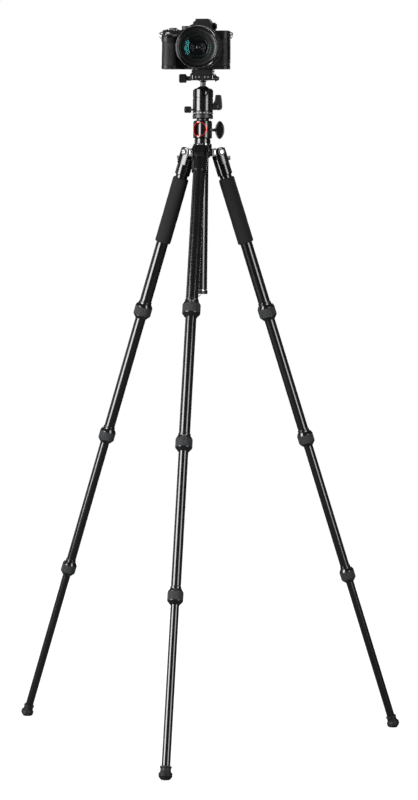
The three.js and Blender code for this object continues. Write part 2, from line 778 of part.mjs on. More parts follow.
function cameraBody() {
  const { left, right, front, back, deck, gripDeck, gripFront, gripWidth, gripTop, top } = CAMERA;
  const main = raised(roundedBox(-left, right, -front, back, [2, 13, 7, 7]), 0, deck);
  const gripPlan = roundedBox(-left, -left + gripWidth, -gripFront, 0, [14, 11, 2, 2]);
  const grip = raised(gripPlan, 0, gripDeck);
  const risePlan = roundedBox(-left + 1, -HUMP.footLeft - 2, -front + 1, back - 2, [4, 2, 2, 6]);
  const deckRise = raised(risePlan, deck - 5, gripDeck);
  const humpFoot = Math.max(deck - 3, CAMERA.axisUp + MOUNT.outer / 2 + GAP);
  const hump = drawn(
    polygon([
      [-HUMP.footLeft - 2, humpFoot],
      [HUMP.footRight + 1, humpFoot],
      [HUMP.footRight, deck],
      [HUMP.topRight + 3, top - 4],
      [HUMP.topRight, top],
      [-HUMP.topLeft, top],
      [-HUMP.topLeft - 1, top - 4.5],
      [-HUMP.footLeft + 4.5, top - 6],
      [-HUMP.footLeft + 4.3, top - 10.5],
      [-HUMP.footLeft - 2, top - 12.5],
    ]),
    -HUMP.front,
    HUMP.back,
  );
  const eyecupPlan = roundedBox(-EYECUP.left, EYECUP.right, 0, back + EYECUP.depth, [1, 1, 5, 5]);
  const eyecup = raised(eyecupPlan, EYECUP.bottom, EYECUP.top);
  const mount = alongMinusY(rod(MOUNT.outer / 2, 0, front + MOUNT.height, FINE_SIDES));
  mount.translate(0, 0, CAMERA.axisUp);
  // The top of the grip falls away to the front.
  const slopeCut = box(-left - 5, -left + gripWidth + 5, -20, gripFront - front, 0, 40);
  slopeCut.rotateX(gripSlope).translate(0, -gripFront, gripTop);
  const half = SHOE.width / 2;
  const shoe = box(-half, half, -8, -8 + SHOE.length, top - SHOE.depth, top + 5);
  const well = shutterPlace(rod(SHUTTER.outer / 2 + GAP, -SHUTTER.well, 40));
  const dialFoot = rod(DIAL.outer / 2 + GAP, gripDeck, gripDeck + 20).translate(DIAL.x, DIAL.y, 0);
  // Room for the lens beside the grip, where the two would meet.
  const lensRoom = alongMinusY(rod(LENS.barrel / 2 + GAP, lensStart + 5, LENS.end, FINE_SIDES));
  lensRoom.translate(0, 0, CAMERA.axisUp);
  return combine([main, grip, deckRise, hump, eyecup, mount], [slopeCut, shoe, well, dialFoot, lensRoom]);
}

function shutterPlace(geometry) {
  const rise = (SHUTTER.y + CAMERA.gripFront) * Math.tan(gripSlope);
  return geometry.rotateX(gripSlope).translate(SHUTTER.x, SHUTTER.y, CAMERA.gripTop + rise);
}

function shutterButton() {
  const r = SHUTTER.outer / 2;
  const { proud } = SHUTTER;
  const bottom = proud - SHUTTER.well - 1;
  return shutterPlace(turned([[0, bottom], [r, bottom], [r, proud - 1], [r - 1.5, proud], [0, proud]]));
}

function modeDial() {
  const r = DIAL.outer / 2;
  const bottom = CAMERA.gripDeck + GAP;
  const top = CAMERA.gripDeck + DIAL.height;
  const dial = turned([[0, bottom], [r, bottom], [r, top - 0.8], [r - 0.8, top], [0, top]]);
  return dial.translate(DIAL.x, DIAL.y, 0);
}

function rearScreen() {
  const { left, right, bottom, top, thick } = SCREEN;
  const face = CAMERA.back + GAP;
  return box(-left, right, face, face + thick, bottom, top);
}

// Lens outlines run forward from the camera, from the tripod screw's axis.

function lensBarrel() {
  const outer = LENS.barrel / 2;
  const under = outer - LENS.ringWall;
  const bore = LENS.inner / 2 + GAP;
  const front = LENS.focusFrom - 3;
  return turned([
    [LENS.mountOuter / 2, lensStart],
    [LENS.mountOuter / 2, lensStart + 5],
    [outer, lensStart + 12],
    [outer, LENS.zoomFrom - GAP],
    [under, LENS.zoomFrom - GAP],
    [under, LENS.zoomTo + GAP],
    [outer, LENS.zoomTo + GAP],
    [outer, front],
    [bore, front],
    [bore, LENS.zoomFrom - 8],
    [24, LENS.zoomFrom - 12],
    [24, lensStart],
  ], FINE_SIDES);
}

function ringSleeve(inner, from, to, outer) {
  return turned([
    [inner, from],
    [outer - 0.8, from],
    [outer, from + 0.8],
    [outer, to - 0.8],
    [outer - 0.8, to],
    [inner, to],
  ], FINE_SIDES);
}

function zoomRing() {
  const outer = LENS.barrel / 2 + LENS.ringWall;
  return ringSleeve(LENS.barrel / 2 - LENS.ringWall + GAP + 0.2, LENS.zoomFrom, LENS.zoomTo, outer);
}

function focusRing() {
  const inner = LENS.inner / 2 + GAP + 0.2;
  return ringSleeve(inner, LENS.focusFrom, LENS.focusTo, inner + 2 * LENS.ringWall);
}

function lensFrontBarrel() {
  const slim = LENS.inner / 2 - 0.2;
  const rim = LENS.rim / 2;
  const mouth = LENS.mouth / 2;
  const seat = LENS.end - LENS.glassDepth - 2;
  const glass = LENS.glass / 2 + GAP;
  const back = LENS.end - LENS.rimLength;
  return turned([
    [slim, LENS.zoomFrom - 6],
    [slim, back],
    [rim, back + 1.5],
    [rim, LENS.end - 0.8],
    [rim - 0.8, LENS.end],
    [mouth, LENS.end],
    [glass + 1.5, seat + 3],
    [glass, seat + 3],
    [glass, seat - GAP],
    [glass - 2.5, seat - GAP],
    [glass - 2.5, LENS.zoomFrom - 6],
  ], FINE_SIDES);
}

function frontElement() {
  const r = LENS.glass / 2;
  const back = LENS.end - LENS.glassDepth - 2;
  const edge = back + 2;
  const outline = [[0, back], [r, back]];
  const steps = 5;
  for (let i = 0; i < steps; i++) {
    const part = i / steps;
    outline.push([r * (1 - part), edge + LENS.glassCrown * (1 - (1 - part) ** 2)]);
  }
  outline.push([0, edge + LENS.glassCrown]);
  return turned(outline, FINE_SIDES);
}

function buildHead(tripod) {
  place("pan_base", panBase(), anodisedSatin, tripod);
  const turntable = groupAt(tripod, 0, 0, 0);
  turntable.rotation.z = rad(HEAD.pan);
  place("ball_housing", ballHousing(), anodised, turntable);
  place("main_lever", mainLever(), anodisedSatin, turntable);
  place("pan_lock_knob", panKnob(), anodisedSatin, turntable);
  const head = groupAt(turntable, 0, 0, ballHeight);
  head.rotation.x = rad(HEAD.tilt);
  place("ball_and_stem", ballAndStem(), anodised, head);
  place("clamp_body", clampBody(), anodisedSatin, head);
  place("clamp_jaw", clampJaw(), anodisedSatin, head);
  place("clamp_knob", clampKnob(), anodisedSatin, head);
  place("clamp_lock_knob", clampLockKnob(), anodisedSatin, head);
  place("quick_plate", quickPlate(), anodisedSatin, head);
  return head;
}

function buildCamera(head) {
  const camera = groupAt(head, 0, 0, CAMERA.base);
  place("camera_body", cameraBody(), bodyPlastic, camera);
  place("shutter_button", shutterButton(), bodyPlastic, camera);
  place("mode_dial", modeDial(), anodisedSatin, camera);
  place("rear_screen", rearScreen(), screenBlack, camera);
  const optic = groupAt(camera, 0, 0, CAMERA.axisUp);
  place("lens_barrel", alongMinusY(lensBarrel()), lensBlack, optic);
  place("zoom_ring", alongMinusY(zoomRing()), ribbedRubber, optic);
  place("lens_front_barrel", alongMinusY(lensFrontBarrel()), lensBlack, optic);
  place("focus_ring", alongMinusY(focusRing()), ribbedRubber, optic);
  place("front_element", alongMinusY(frontElement()), glassDark, optic);
}

// ---------------------------------------------------------------- assembly

const tripod = new THREE.Group();
buildLegs(tripod);
buildColumn(tripod);
buildCamera(buildHead(tripod));

const model = new THREE.Group();
model.name = "camera_on_tripod";
model.add(tripod);
model.updateMatrixWorld(true);
const extent = new THREE.Box3().setFromObject(tripod, true);
tripod.position.set(-(extent.min.x + extent.max.x) / 2, -(extent.min.y + extent.max.y) / 2, 0);

export default model;
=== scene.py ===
"""The looks of a mirrorless camera on a travel tripod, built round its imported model."""

import logging
import math
from dataclasses import dataclass, field
from enum import Enum
from typing import Callable, Iterable, Optional, Sequence, Union

import bmesh
import bpy
from mathutils import Matrix, Vector


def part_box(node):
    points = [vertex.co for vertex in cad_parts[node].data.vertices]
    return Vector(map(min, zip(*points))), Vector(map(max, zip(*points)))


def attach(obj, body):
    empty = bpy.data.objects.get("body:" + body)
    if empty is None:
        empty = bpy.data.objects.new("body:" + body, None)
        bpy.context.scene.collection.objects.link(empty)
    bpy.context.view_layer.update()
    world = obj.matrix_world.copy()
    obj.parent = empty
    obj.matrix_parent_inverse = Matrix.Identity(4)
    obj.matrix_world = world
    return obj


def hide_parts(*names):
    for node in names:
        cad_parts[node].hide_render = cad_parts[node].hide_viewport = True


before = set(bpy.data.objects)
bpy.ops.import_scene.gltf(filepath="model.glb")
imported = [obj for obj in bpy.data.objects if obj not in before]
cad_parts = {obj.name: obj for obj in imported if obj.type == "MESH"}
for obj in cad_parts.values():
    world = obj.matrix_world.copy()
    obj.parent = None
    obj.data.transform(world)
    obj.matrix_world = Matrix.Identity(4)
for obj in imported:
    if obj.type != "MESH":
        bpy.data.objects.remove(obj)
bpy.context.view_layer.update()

MM = 0.001
FINE = 64
LOG = logging.getLogger("camera_on_tripod")
Pair = tuple[float, float]
Colour = tuple[float, float, float]


# ---------------------------------------------------------------- shader writing


class Socket:
    """An output of a shader node that can stand in a sum, a product or a power."""

    def __init__(self, graph: "Graph", link: bpy.types.NodeSocket) -> None:
        """Keeps the graph and the output."""
        self.graph = graph
        self.link = link

    def _maths(self, operation: str, a: "Value", b: "Value") -> "Socket":
        """Adds one Math node to the graph."""
        return self.graph.node("ShaderNodeMath", {"operation": operation}, {0: a, 1: b})

    def __add__(self, other: "Value") -> "Socket":
        """self + other."""
        return self._maths("ADD", self, other)

    __radd__ = __add__

    def __sub__(self, other: "Value") -> "Socket":
        """self - other."""
        return self._maths("SUBTRACT", self, other)

    def __rsub__(self, other: "Value") -> "Socket":
        """other - self."""
        return self._maths("SUBTRACT", other, self)

    def __mul__(self, other: "Value") -> "Socket":
        """self * other."""
        return self._maths("MULTIPLY", self, other)

    __rmul__ = __mul__

    def __pow__(self, other: "Value") -> "Socket":
        """self to the power of other."""
        return self._maths("POWER", self, other)

    def __rpow__(self, other: "Value") -> "Socket":
        """other to the power of self."""
        return self._maths("POWER", other, self)


Value = Union[Socket, float, int, Sequence[float]]


class Graph:
    """The node tree of a material or a world, with its one shader."""

    def __init__(
        self, owner: Union[bpy.types.Material, bpy.types.World], shader: str = "Principled BSDF"
    ) -> None:
        """Turns on the owner's nodes and finds the shader."""
        owner.use_nodes = True
        self.owner = owner
        self.tree = owner.node_tree
        self.shader = self.tree.nodes[shader]

    def node(
        self, kind: str, settings: Optional[dict] = None,
        values: Optional[dict] = None, out: Union[int, str] = 0,
    ) -> Socket:
        """Adds a node.

        Args:
            kind: The node's type.
            settings: Its properties, set before its sockets. "stops" fills a ramp.
            values: Numbers, vectors or sockets for its inputs, by name or index.
            out: Which of its outputs to return.

        Returns:
            That output.
        """
        made = self.tree.nodes.new(kind)
        for name, setting in (settings or {}).items():
            if name == "stops":
                for at, level in setting:
                    stop = made.color_ramp.elements.new(at)
                    stop.color = (level, level, level, 1.0)
                made.color_ramp.elements.remove(made.color_ramp.elements[0])
                made.color_ramp.elements.remove(made.color_ramp.elements[-1])
            else:
                setattr(made, name, setting)
        for name, value in (values or {}).items():
            self.feed(made.inputs[name], value)
        return Socket(self, made.outputs[out])

    def feed(self, target: bpy.types.NodeSocket, value: Value) -> None:
        """Links a socket to an input, or sets the input to a number or a vector."""
        if isinstance(value, Socket):
            self.tree.links.new(value.link, target)
        else:
            target.default_value = value

    def set(self, **numbers: Value) -> None:
        """Sets or links the shader's inputs, with _ for each blank in their names."""
        for name, value in numbers.items():
            self.feed(self.shader.inputs[name.replace("_", " ")], value)

    def mix(self, share: Value, low: Colour, high: Colour) -> Socket:
        """A colour between two, by share."""
        settings = {"data_type": "RGBA"}
        colours = {0: share, 6: (*low, 1.0), 7: (*high, 1.0)}
        return self.node("ShaderNodeMix", settings, colours, 2)

    def place(self) -> Socket:
        """Where a point of the surface is, in metres."""
        return self.node("ShaderNodeTexCoord", out="Object")

    def noise(self, scale: float, detail: float = 3.0) -> Socket:
        """Soft noise from 0 to 1, scale cells to the metre."""
        values = {"Vector": self.place(), "Scale": scale, "Detail": detail}
        return self.node("ShaderNodeTexNoise", None, values)

    def cells(self, scale: float, feature: str = "F1") -> Socket:
        """Distance to the nearest of scattered points, scale cells to the metre."""
        values = {"Vector": self.place(), "Scale": scale}
        return self.node("ShaderNodeTexVoronoi", {"feature": feature}, values)

    def bump(self, height: Socket, depth: float, strength: float = 1.0) -> None:
        """Feeds a height, depth metres from 0 to 1, to the shader's normal."""
        values = {"Height": height, "Distance": depth, "Strength": strength}
        self.feed(self.shader.inputs["Normal"], self.node("ShaderNodeBump", None, values))


# ---------------------------------------------------------------- finishes


@dataclass(frozen=True)
class Finish:
    """A surface of slightly uneven colour and gloss, with a fine grain."""

    name: str
    slot: str
    dark: Colour
    light: Colour
    roughness: float
    patch: float = 40.0
    spread: float = 0.08
    grain: float = 1800.0
    depth: float = 0.00001
    metallic: float = 0.0
    ior: float = 1.5
    coat: float = 0.0

    def dress(self, graph: Graph) -> None:
        """Adds the colour, gloss and grain to a graph."""
        patch = graph.noise(self.patch)
        graph.set(Base_Color=graph.mix(patch, self.dark, self.light))
        graph.set(Roughness=self.roughness + self.spread * (patch - 0.5))
        graph.set(Metallic=self.metallic, IOR=self.ior, Coat_Weight=self.coat)
        graph.set(Coat_Roughness=0.06)
        graph.bump(graph.noise(self.grain, 2.0), self.depth)

    def material(self) -> bpy.types.Material:
        """The finish's material, made once."""
        found = bpy.data.materials.get(self.name)
        if found is None:
            found = bpy.data.materials.new(self.name)
            self.dress(Graph(found))
        return found


@dataclass(frozen=True)
class Leatherette(Finish):
    """Pressed grain: rounded cells with creases between them."""

    cell: float = 900.0

    def dress(self, graph: Graph) -> None:
        """Adds creased cells over the plain surface."""
        Finish.dress(self, graph)
        crease = graph.cells(self.cell, "DISTANCE_TO_EDGE")
        raised = graph.node("ShaderNodeValToRGB", {"stops": [(0.0, 0.0), (0.35, 1.0)]}, {0: crease})
        graph.set(Roughness=self.roughness - 0.18 * raised * graph.noise(self.patch))
        graph.bump(raised + 0.2 * graph.noise(self.grain), self.depth)


@dataclass(frozen=True)
class Foam(Finish):
    """Closed-cell foam: fine open pits, darkened with painted shade, and a soft, rough face."""

    def dress(self, graph: Graph) -> None:
        """Adds pits of two sizes, and paints shade into the larger ones: the colour darkens towards each
        pit's middle.
        """
        Finish.dress(self, graph)
        pits = graph.cells(self.grain)
        height = pits ** 0.5 + 0.5 * graph.cells(self.grain * 2.7)
        # Painted shade: the colour darkens into the larger pits, as their depth does.
        graph.set(Base_Color=graph.mix(pits, self.dark, self.light))
        graph.bump(height, self.depth)


@dataclass(frozen=True)
class Lens(Finish):
    """Coated glass: dark, with a coloured sheen that fades over its face."""

    sheen: Colour = (0.02, 0.12, 0.12)
    alpha: float = 1.0

    def dress(self, graph: Graph) -> None:
        """Paints a coloured sheen into the colour, stronger where the glass turns away from the view; the
        dark colour face-on is the glass's own.
        """
        turned = graph.node("ShaderNodeLayerWeight", None, {"Blend": 0.35}, "Facing")
        # Painted sheen: the base colour turns to the sheen colour towards the edges.
        graph.set(Base_Color=graph.mix(turned ** 1.4, self.dark, self.sheen))
        graph.set(Roughness=self.roughness + 0.01 * graph.noise(self.patch))
        graph.set(IOR=self.ior, Coat_Weight=self.coat, Coat_Roughness=0.02, Alpha=self.alpha)
        graph.set(Metallic=self.metallic)


GLOSS = Finish("gloss_anodised", "anodised_gloss", (0.003, 0.003, 0.0035), (0.006, 0.006, 0.0068),
               0.17, ior=1.8, coat=0.3, depth=0.000004)
SATIN = Finish("satin_anodised", "anodised_satin", (0.006, 0.006, 0.0068), (0.012, 0.012, 0.0135),
               0.33, ior=1.7, grain=2600.0, depth=0.00001)
# A lighter copy of the satin anodised finish, on washers, ribs, ridges, knob faces, the lever and the clamp's
# jaw: painted light, standing in for the light these parts catch.
LIT_SATIN = Finish("lit_satin_anodised", "anodised_satin", (0.008, 0.008, 0.009), (0.015, 0.015, 0.017),
               0.33, ior=1.7, grain=2600.0, depth=0.00001)
STEEL = Finish("bright_steel", "bright_metal", (0.52, 0.53, 0.55), (0.7, 0.71, 0.73),
               0.2, metallic=1.0, patch=120.0, depth=0.000006)
BUSH = Finish("dark_bush", "bright_metal", (0.1, 0.1, 0.105), (0.17, 0.17, 0.18),
              0.22, metallic=1.0, patch=120.0, depth=0.000006)
RUBBER = Finish("collar_rubber", "ribbed_rubber", (0.026, 0.028, 0.03), (0.042, 0.044, 0.047),
                0.62, patch=90.0, grain=1500.0, depth=0.00003)
FOOT_RUBBER = Finish("sole_rubber", "foot_rubber", (0.008, 0.008, 0.009), (0.016, 0.016, 0.017),
                     0.55, patch=110.0, grain=1300.0, depth=0.00004)
FOAM = Foam("grip_foam", "foam", (0.011, 0.0095, 0.01), (0.019, 0.0165, 0.0178),
            0.9, patch=25.0, grain=1100.0, depth=0.00012)
RED = Finish("red_anodised", "anodised_satin", (0.55, 0.022, 0.008), (0.78, 0.04, 0.016),
             0.24, metallic=0.35, ior=1.6, coat=0.5, depth=0.000005)
SHELL = Finish("camera_shell", "camera_plastic", (0.004, 0.004, 0.0045), (0.009, 0.009, 0.0095),
               0.42, patch=60.0, grain=3200.0, depth=0.00003, ior=1.5)
LEATHER = Leatherette("camera_leatherette", "camera_plastic", (0.004, 0.004, 0.0045), (0.01, 0.01, 0.0105),
                      0.5, patch=60.0, depth=0.00012)
BARREL = Finish("lens_barrel_black", "lens_black", (0.004, 0.004, 0.0045), (0.008, 0.008, 0.0085),
                0.2, patch=60.0, ior=1.6, depth=0.000008)
INNER = Finish("lens_inner_black", "lens_black", (0.003, 0.003, 0.0032), (0.006, 0.006, 0.0065),
               0.55, patch=60.0, depth=0.00001)
RING_RUBBER = Finish("lens_ring_rubber", "ribbed_rubber", (0.01, 0.01, 0.0105), (0.018, 0.018, 0.019),
                     0.5, patch=90.0, depth=0.00002)
MARK = Finish("pale_mark", "bright_metal", (0.5, 0.5, 0.49), (0.62, 0.62, 0.6), 0.55)
GLASS = Lens("coated_front_glass", "front_glass", (0.03, 0.3, 0.3), (0.0, 0.0, 0.0), 0.04,
             metallic=1.0, sheen=(0.03, 0.38, 0.36), alpha=0.06)
DEEP_GLASS = Lens("inner_glass", "front_glass", (0.01, 0.01, 0.014), (0.0, 0.0, 0.0), 0.05,
                  ior=1.6, sheen=(0.02, 0.012, 0.03))
SCREEN = Lens("screen_glass", "screen_black", (0.004, 0.004, 0.0045), (0.0, 0.0, 0.0), 0.06,
              ior=1.5, coat=0.6, sheen=(0.012, 0.014, 0.018))


# ---------------------------------------------------------------- shape writing


def rounded(points: Sequence[Pair], radius: float, steps: int = 4) -> list[Pair]:
    """Rounds each corner of a closed outline.

    Args:
        points: The corners in order.
        radius: The largest radius, less where a side is short.
        steps: Segments in each corner.

    Returns:
        The outline with its corners rounded.
    """
    made: list[Pair] = []
    for i, corner in enumerate(points):
        here = Vector(corner)
        back, on = Vector(points[i - 1]) - here, Vector(points[(i + 1) % len(points)]) - here
        if back.length < 1e-6 or on.length < 1e-6:
            continue
        reach = min(radius, 0.45 * back.length, 0.45 * on.length)
        start, end = here + back.normalized() * reach, here + on.normalized() * reach
        for step in range(steps + 1):
            t = step / steps
            point = start * (1 - t) ** 2 + here * 2 * t * (1 - t) + end * t * t
            made.append((point.x, point.y))
    return made


def inset(points: Sequence[Pair], distance: float) -> list[Pair]:
    """Moves a counter-clockwise outline inwards by a distance, corner by corner."""
    made: list[Pair] = []
    for i, corner in enumerate(points):
        here = Vector(corner)
        back = (here - Vector(points[i - 1])).normalized()
        on = (Vector(points[(i + 1) % len(points)]) - here).normalized()
        inward = Vector((-back.y - on.y, back.x + on.x))
        square = inward.length_squared
        move = inward * (2 * distance / square) if square > 0.2 else inward * distance
        made.append((here.x + move.x, here.y + move.y))
    return made


def plan(x0: float, x1: float, y0: float, y1: float, corners: Sequence[float]) -> list[Pair]:
    """A rectangle whose corner radii are given from x0 y0 round to x0 y1, 5 steps to each."""
    centres = [(x0, y0, 1, 1, 180), (x1, y0, -1, 1, 270), (x1, y1, -1, -1, 0), (x0, y1, 1, -1, 90)]
    made: list[Pair] = []
    for (x, y, sx, sy, start), radius in zip(centres, corners):
        for step in range(6):
            turn = math.radians(start + 18 * step)
            made.append(
                (x + sx * radius + radius * math.cos(turn), y + sy * radius + radius * math.sin(turn))
            )
    return made


@dataclass
class Form:
    """A closed shape in millimetres: its corners, its faces and each face's finish."""

    corners: list[Vector]
    faces: list[tuple[int, ...]]
    finishes: list[Finish]

    def moved(self, matrix: Matrix) -> "Form":
        """A copy moved by a matrix."""
        return Form([matrix @ c for c in self.corners], list(self.faces), list(self.finishes))

    def at(self, x: float, y: float, z: float) -> "Form":
        """A copy moved along the axes."""
        return self.moved(Matrix.Translation((x, y, z)))

    def painted(self, finish: Finish, where: Callable[[Vector], bool]) -> "Form":
        """The same shape with a finish on the faces whose middle passes a test."""
        for i, face in enumerate(self.faces):
            if where(sum((self.corners[c] for c in face), Vector()) / len(face)):
                self.finishes[i] = finish
        return self

    def with_(self, *others: "Form") -> "Form":
        """This shape and others as one piece."""
        corners, faces, finishes = list(self.corners), list(self.faces), list(self.finishes)
        for other in others:
            shift = len(corners)
            corners += other.corners
            faces += [tuple(c + shift for c in face) for face in other.faces]
            finishes += other.finishes
        return Form(corners, faces, finishes)

    def mesh(self, name: str, scale: Matrix, finishes: Sequence[Finish]) -> bpy.types.Mesh:
        """The shape as a Blender mesh whose slots follow a list of finishes."""
        mesh = bpy.data.meshes.new(name)
        mesh.from_pydata([scale @ c for c in self.corners], [], self.faces)
        for finish in finishes:
            mesh.materials.append(finish.material())
        mesh.polygons.foreach_set("material_index", [finishes.index(f) for f in self.finishes])
        mesh.validate()
        return mesh

    def boolean(self, operation: str, tools: Iterable["Form"]) -> "Form":
        """Cuts, joins or keeps what is common with each tool in turn.

        Args:
            operation: DIFFERENCE, UNION or INTERSECT.
            tools: The shapes to work with.

        Returns:
            The result.
        """
        result = self
        for tool in tools:
            finishes = list(dict.fromkeys([*result.finishes, *tool.finishes]))
            objects = []
            for form in (result, tool):
                mesh = form.mesh("work", Matrix.Identity(4), finishes)
                objects.append(bpy.data.objects.new("work", mesh))
                bpy.context.scene.collection.objects.link(objects[-1])
            modifier = objects[0].modifiers.new("cut", "BOOLEAN")
            modifier.operation, modifier.object, modifier.solver = operation, objects[1], "EXACT"
            evaluated = objects[0].evaluated_get(bpy.context.evaluated_depsgraph_get())
            mesh = evaluated.to_mesh()
            corners = [v.co.copy() for v in mesh.vertices]
            faces = [tuple(p.vertices) for p in mesh.polygons]
            kept = [finishes[min(p.material_index, len(finishes) - 1)] for p in mesh.polygons]
            evaluated.to_mesh_clear()
            for made in objects:
                data = made.data
                bpy.data.objects.remove(made)
                bpy.data.meshes.remove(data)
            result = Form(corners, faces, kept)
        return result

    def cut(self, *tools: "Form") -> "Form":
        """This shape less others."""
        return self.boolean("DIFFERENCE", tools)

    def fused(self, *tools: "Form") -> "Form":
        """This shape and others as one skin."""
        return self.boolean("UNION", tools)


def loft(rings: Sequence[Sequence[Vector]], finish: Finish, closed: bool = False) -> Form:
    """Joins rings of corners into a skin.

    Args:
        rings: Rings with the same number of corners. A ring of one corner is a point.
        finish: The finish of every face.
        closed: Whether the last ring joins the first, as on a tube. If not, the ends are capped.

    Returns:
        The shape.
    """
    corners: list[Vector] = []
    starts: list[tuple[int, int]] = []
    for ring in rings:
        starts.append((len(corners), len(ring)))
        corners += ring
    faces: list[tuple[int, ...]] = []
    pairs = list(zip(starts, starts[1:])) + ([(starts[-1], starts[0])] if closed else [])
    for (a, na), (b, nb) in pairs:
        for i in range(max(na, nb)):
            j = (i + 1) % max(na, nb)
            if na == 1:
                faces.append((a, b + j, b + i))
            elif nb == 1:
                faces.append((a + i, a + j, b))
            else:
                faces.append((a + i, a + j, b + j, b + i))
    if not closed:
        if starts[0][1] > 1:
            faces.append(tuple(reversed(range(starts[0][1]))))
        if starts[-1][1] > 1:
            faces.append(tuple(starts[-1][0] + i for i in range(starts[-1][1])))
    return Form(corners, faces, [finish] * len(faces))


@dataclass(frozen=True)
class Ribs:
    """Ribs along a turned shape: how many, how deep and from where to where."""

    count: int
    depth: float
    low: float
    high: float


def turned(
    outline: Sequence[Pair], finish: Finish, sides: int = FINE, ease: float = 0.0,
    ribs: Optional[Ribs] = None,
) -> Form:
    """A shape turned about Z.

    Args:
        outline: Radius and height pairs, up the outside from the bottom. It starts and
            ends on the axis, or it is a ring whose last pair joins the first.
        finish: The finish of every face.
        sides: Segments round the axis.
        ease: Radius that softens each corner of the outline.
        ribs: Ribs cut into the outer face.

    Returns:
        The shape.
    """
    on_axis = outline[0][0] == 0
    points = list(outline)
    if ease:
        if on_axis:
            mirrored = [(-r, z) for r, z in reversed(outline[1:-1])]
            points = [p for p in rounded([*outline, *mirrored], ease, 3) if p[0] > 1e-4]
            points = [(0.0, outline[0][1]), *points, (0.0, outline[-1][1])]
            points = _without_doubles(points)
        else:
            points = rounded(outline, ease, 3)
    if ribs:
        sides = ribs.count * 4
        points = _banded(points, ribs)
    widest = max(r for r, _ in points)
    rings = []
    for r, z in points:
        if r <= 1e-6:
            rings.append([Vector((0, 0, z))])
            continue
        ring = []
        for i in range(sides):
            turn = 2 * math.pi * i / sides
            sunk = ribs and ribs.low < z < ribs.high and r > widest - 4 * ribs.depth and i % 4 > 1
            reach = r - ribs.depth if sunk else r
            ring.append(Vector((reach * math.cos(turn), reach * math.sin(turn), z)))
        rings.append(ring)
    return loft(rings, finish, closed=not on_axis)


def _without_doubles(points: list[Pair]) -> list[Pair]:
    """Drops the doubled ends that easing leaves on the axis."""
    return [p for i, p in enumerate(points) if i == 0 or math.dist(p, points[i - 1]) > 1e-5]


def _banded(points: list[Pair], ribs: Ribs) -> list[Pair]:
    """Adds corners just inside both ends of the ribs, so that they end square."""
    made: list[Pair] = []
    for i, (r, z) in enumerate(points):
        made.append((r, z))
        r2, z2 = points[(i + 1) % len(points)]
        if abs(r2 - r) < 1e-6 and r > 0 and z < ribs.low < ribs.high < z2:
            made += [(r, ribs.low), (r, ribs.low + 0.2), (r, ribs.high - 0.2), (r, ribs.high)]
    return made


def rod(radius: float, low: float, high: float, finish: Finish, ease: float = 0.3, sides: int = FINE) -> Form:
    """A turned bar with softened ends."""
    return turned([(0, low), (radius, low), (radius, high), (0, high)], finish, sides, ease)


def sleeve(bore: float, radius: float, low: float, high: float, finish: Finish, ease: float = 0.25) -> Form:
    """A turned tube with softened ends."""
    return turned([(radius, low), (radius, high), (bore, high), (bore, low)], finish, FINE, ease)


def slab(outline: Sequence[Pair], low: float, high: float, finish: Finish, edge: float = 0.6) -> Form:
    """An outline in X and Y raised along Z, with its two rims softened.

    Args:
        outline: Corners, counter-clockwise.
        low: Height of the underside.
        high: Height of the top.
        finish: The finish of every face.
        edge: Radius of the soft rims.

    Returns:
        The shape.
    """
    levels: list[tuple[float, float]] = []
    for step in range(4):
        turn = math.radians(30 * step)
        levels.append((edge * (1 - math.sin(turn)), low + edge * (1 - math.cos(turn))))
    levels += [(inward, low + high - z) for inward, z in reversed(levels)]
    rings = [[Vector((x, y, z)) for x, y in inset(outline, inward)] for inward, z in levels]
    return loft(rings, finish)


def brick(x0: float, x1: float, y0: float, y1: float, z0: float, z1: float, finish: Finish,
          corner: float = 1.0, edge: float = 0.6) -> Form:
    """A block with rounded upright corners and soft rims."""
    return slab(plan(x0, x1, y0, y1, [corner] * 4), z0, z1, finish, edge)


def wire(path: Sequence[Vector], radius: float, finish: Finish, sides: int = 10, closed: bool = True) -> Form:
    """A round wire along a path of points in one plane, or nearly."""
    rings = []
    count = len(path)
    for i, point in enumerate(path):
        before = path[i - 1] if closed or i else point
        after = path[(i + 1) % count] if closed or i < count - 1 else point
        ahead = (after - before).normalized()
        across = ahead.orthogonal() if abs(ahead.x) > 0.99 else ahead.cross(Vector((1, 0, 0)))
        side = across.normalized()
        up = ahead.cross(side).normalized()
        rings.append([
            point + radius * (math.cos(t) * side + math.sin(t) * up)
            for t in (2 * math.pi * k / sides for k in range(sides))
        ])
    return loft(rings, finish, closed=closed)


def around(form: Form, count: int, start: float = 0.0) -> Form:
    """Copies of a shape set evenly round Z."""
    copies = [
        form.moved(Matrix.Rotation(math.radians(start) + 2 * math.pi * i / count, 4, "Z"))
        for i in range(count)
    ]
    return copies[0].with_(*copies[1:])


class Turn(Enum):
    """Ways to lay down a shape that was made standing up."""

    ALONG_X = Matrix.Rotation(math.pi / 2, 4, "Y")
    ALONG_MINUS_X = Matrix.Rotation(-math.pi / 2, 4, "Y")
    FORWARD = Matrix.Rotation(math.pi / 2, 4, "X")
    BACKWARD = Matrix.Rotation(-math.pi / 2, 4, "X")
    DOWN = Matrix.Rotation(math.pi, 4, "X")

    def lay(self, form: Form) -> Form:
        """The shape, laid down."""
        return form.moved(self.value)


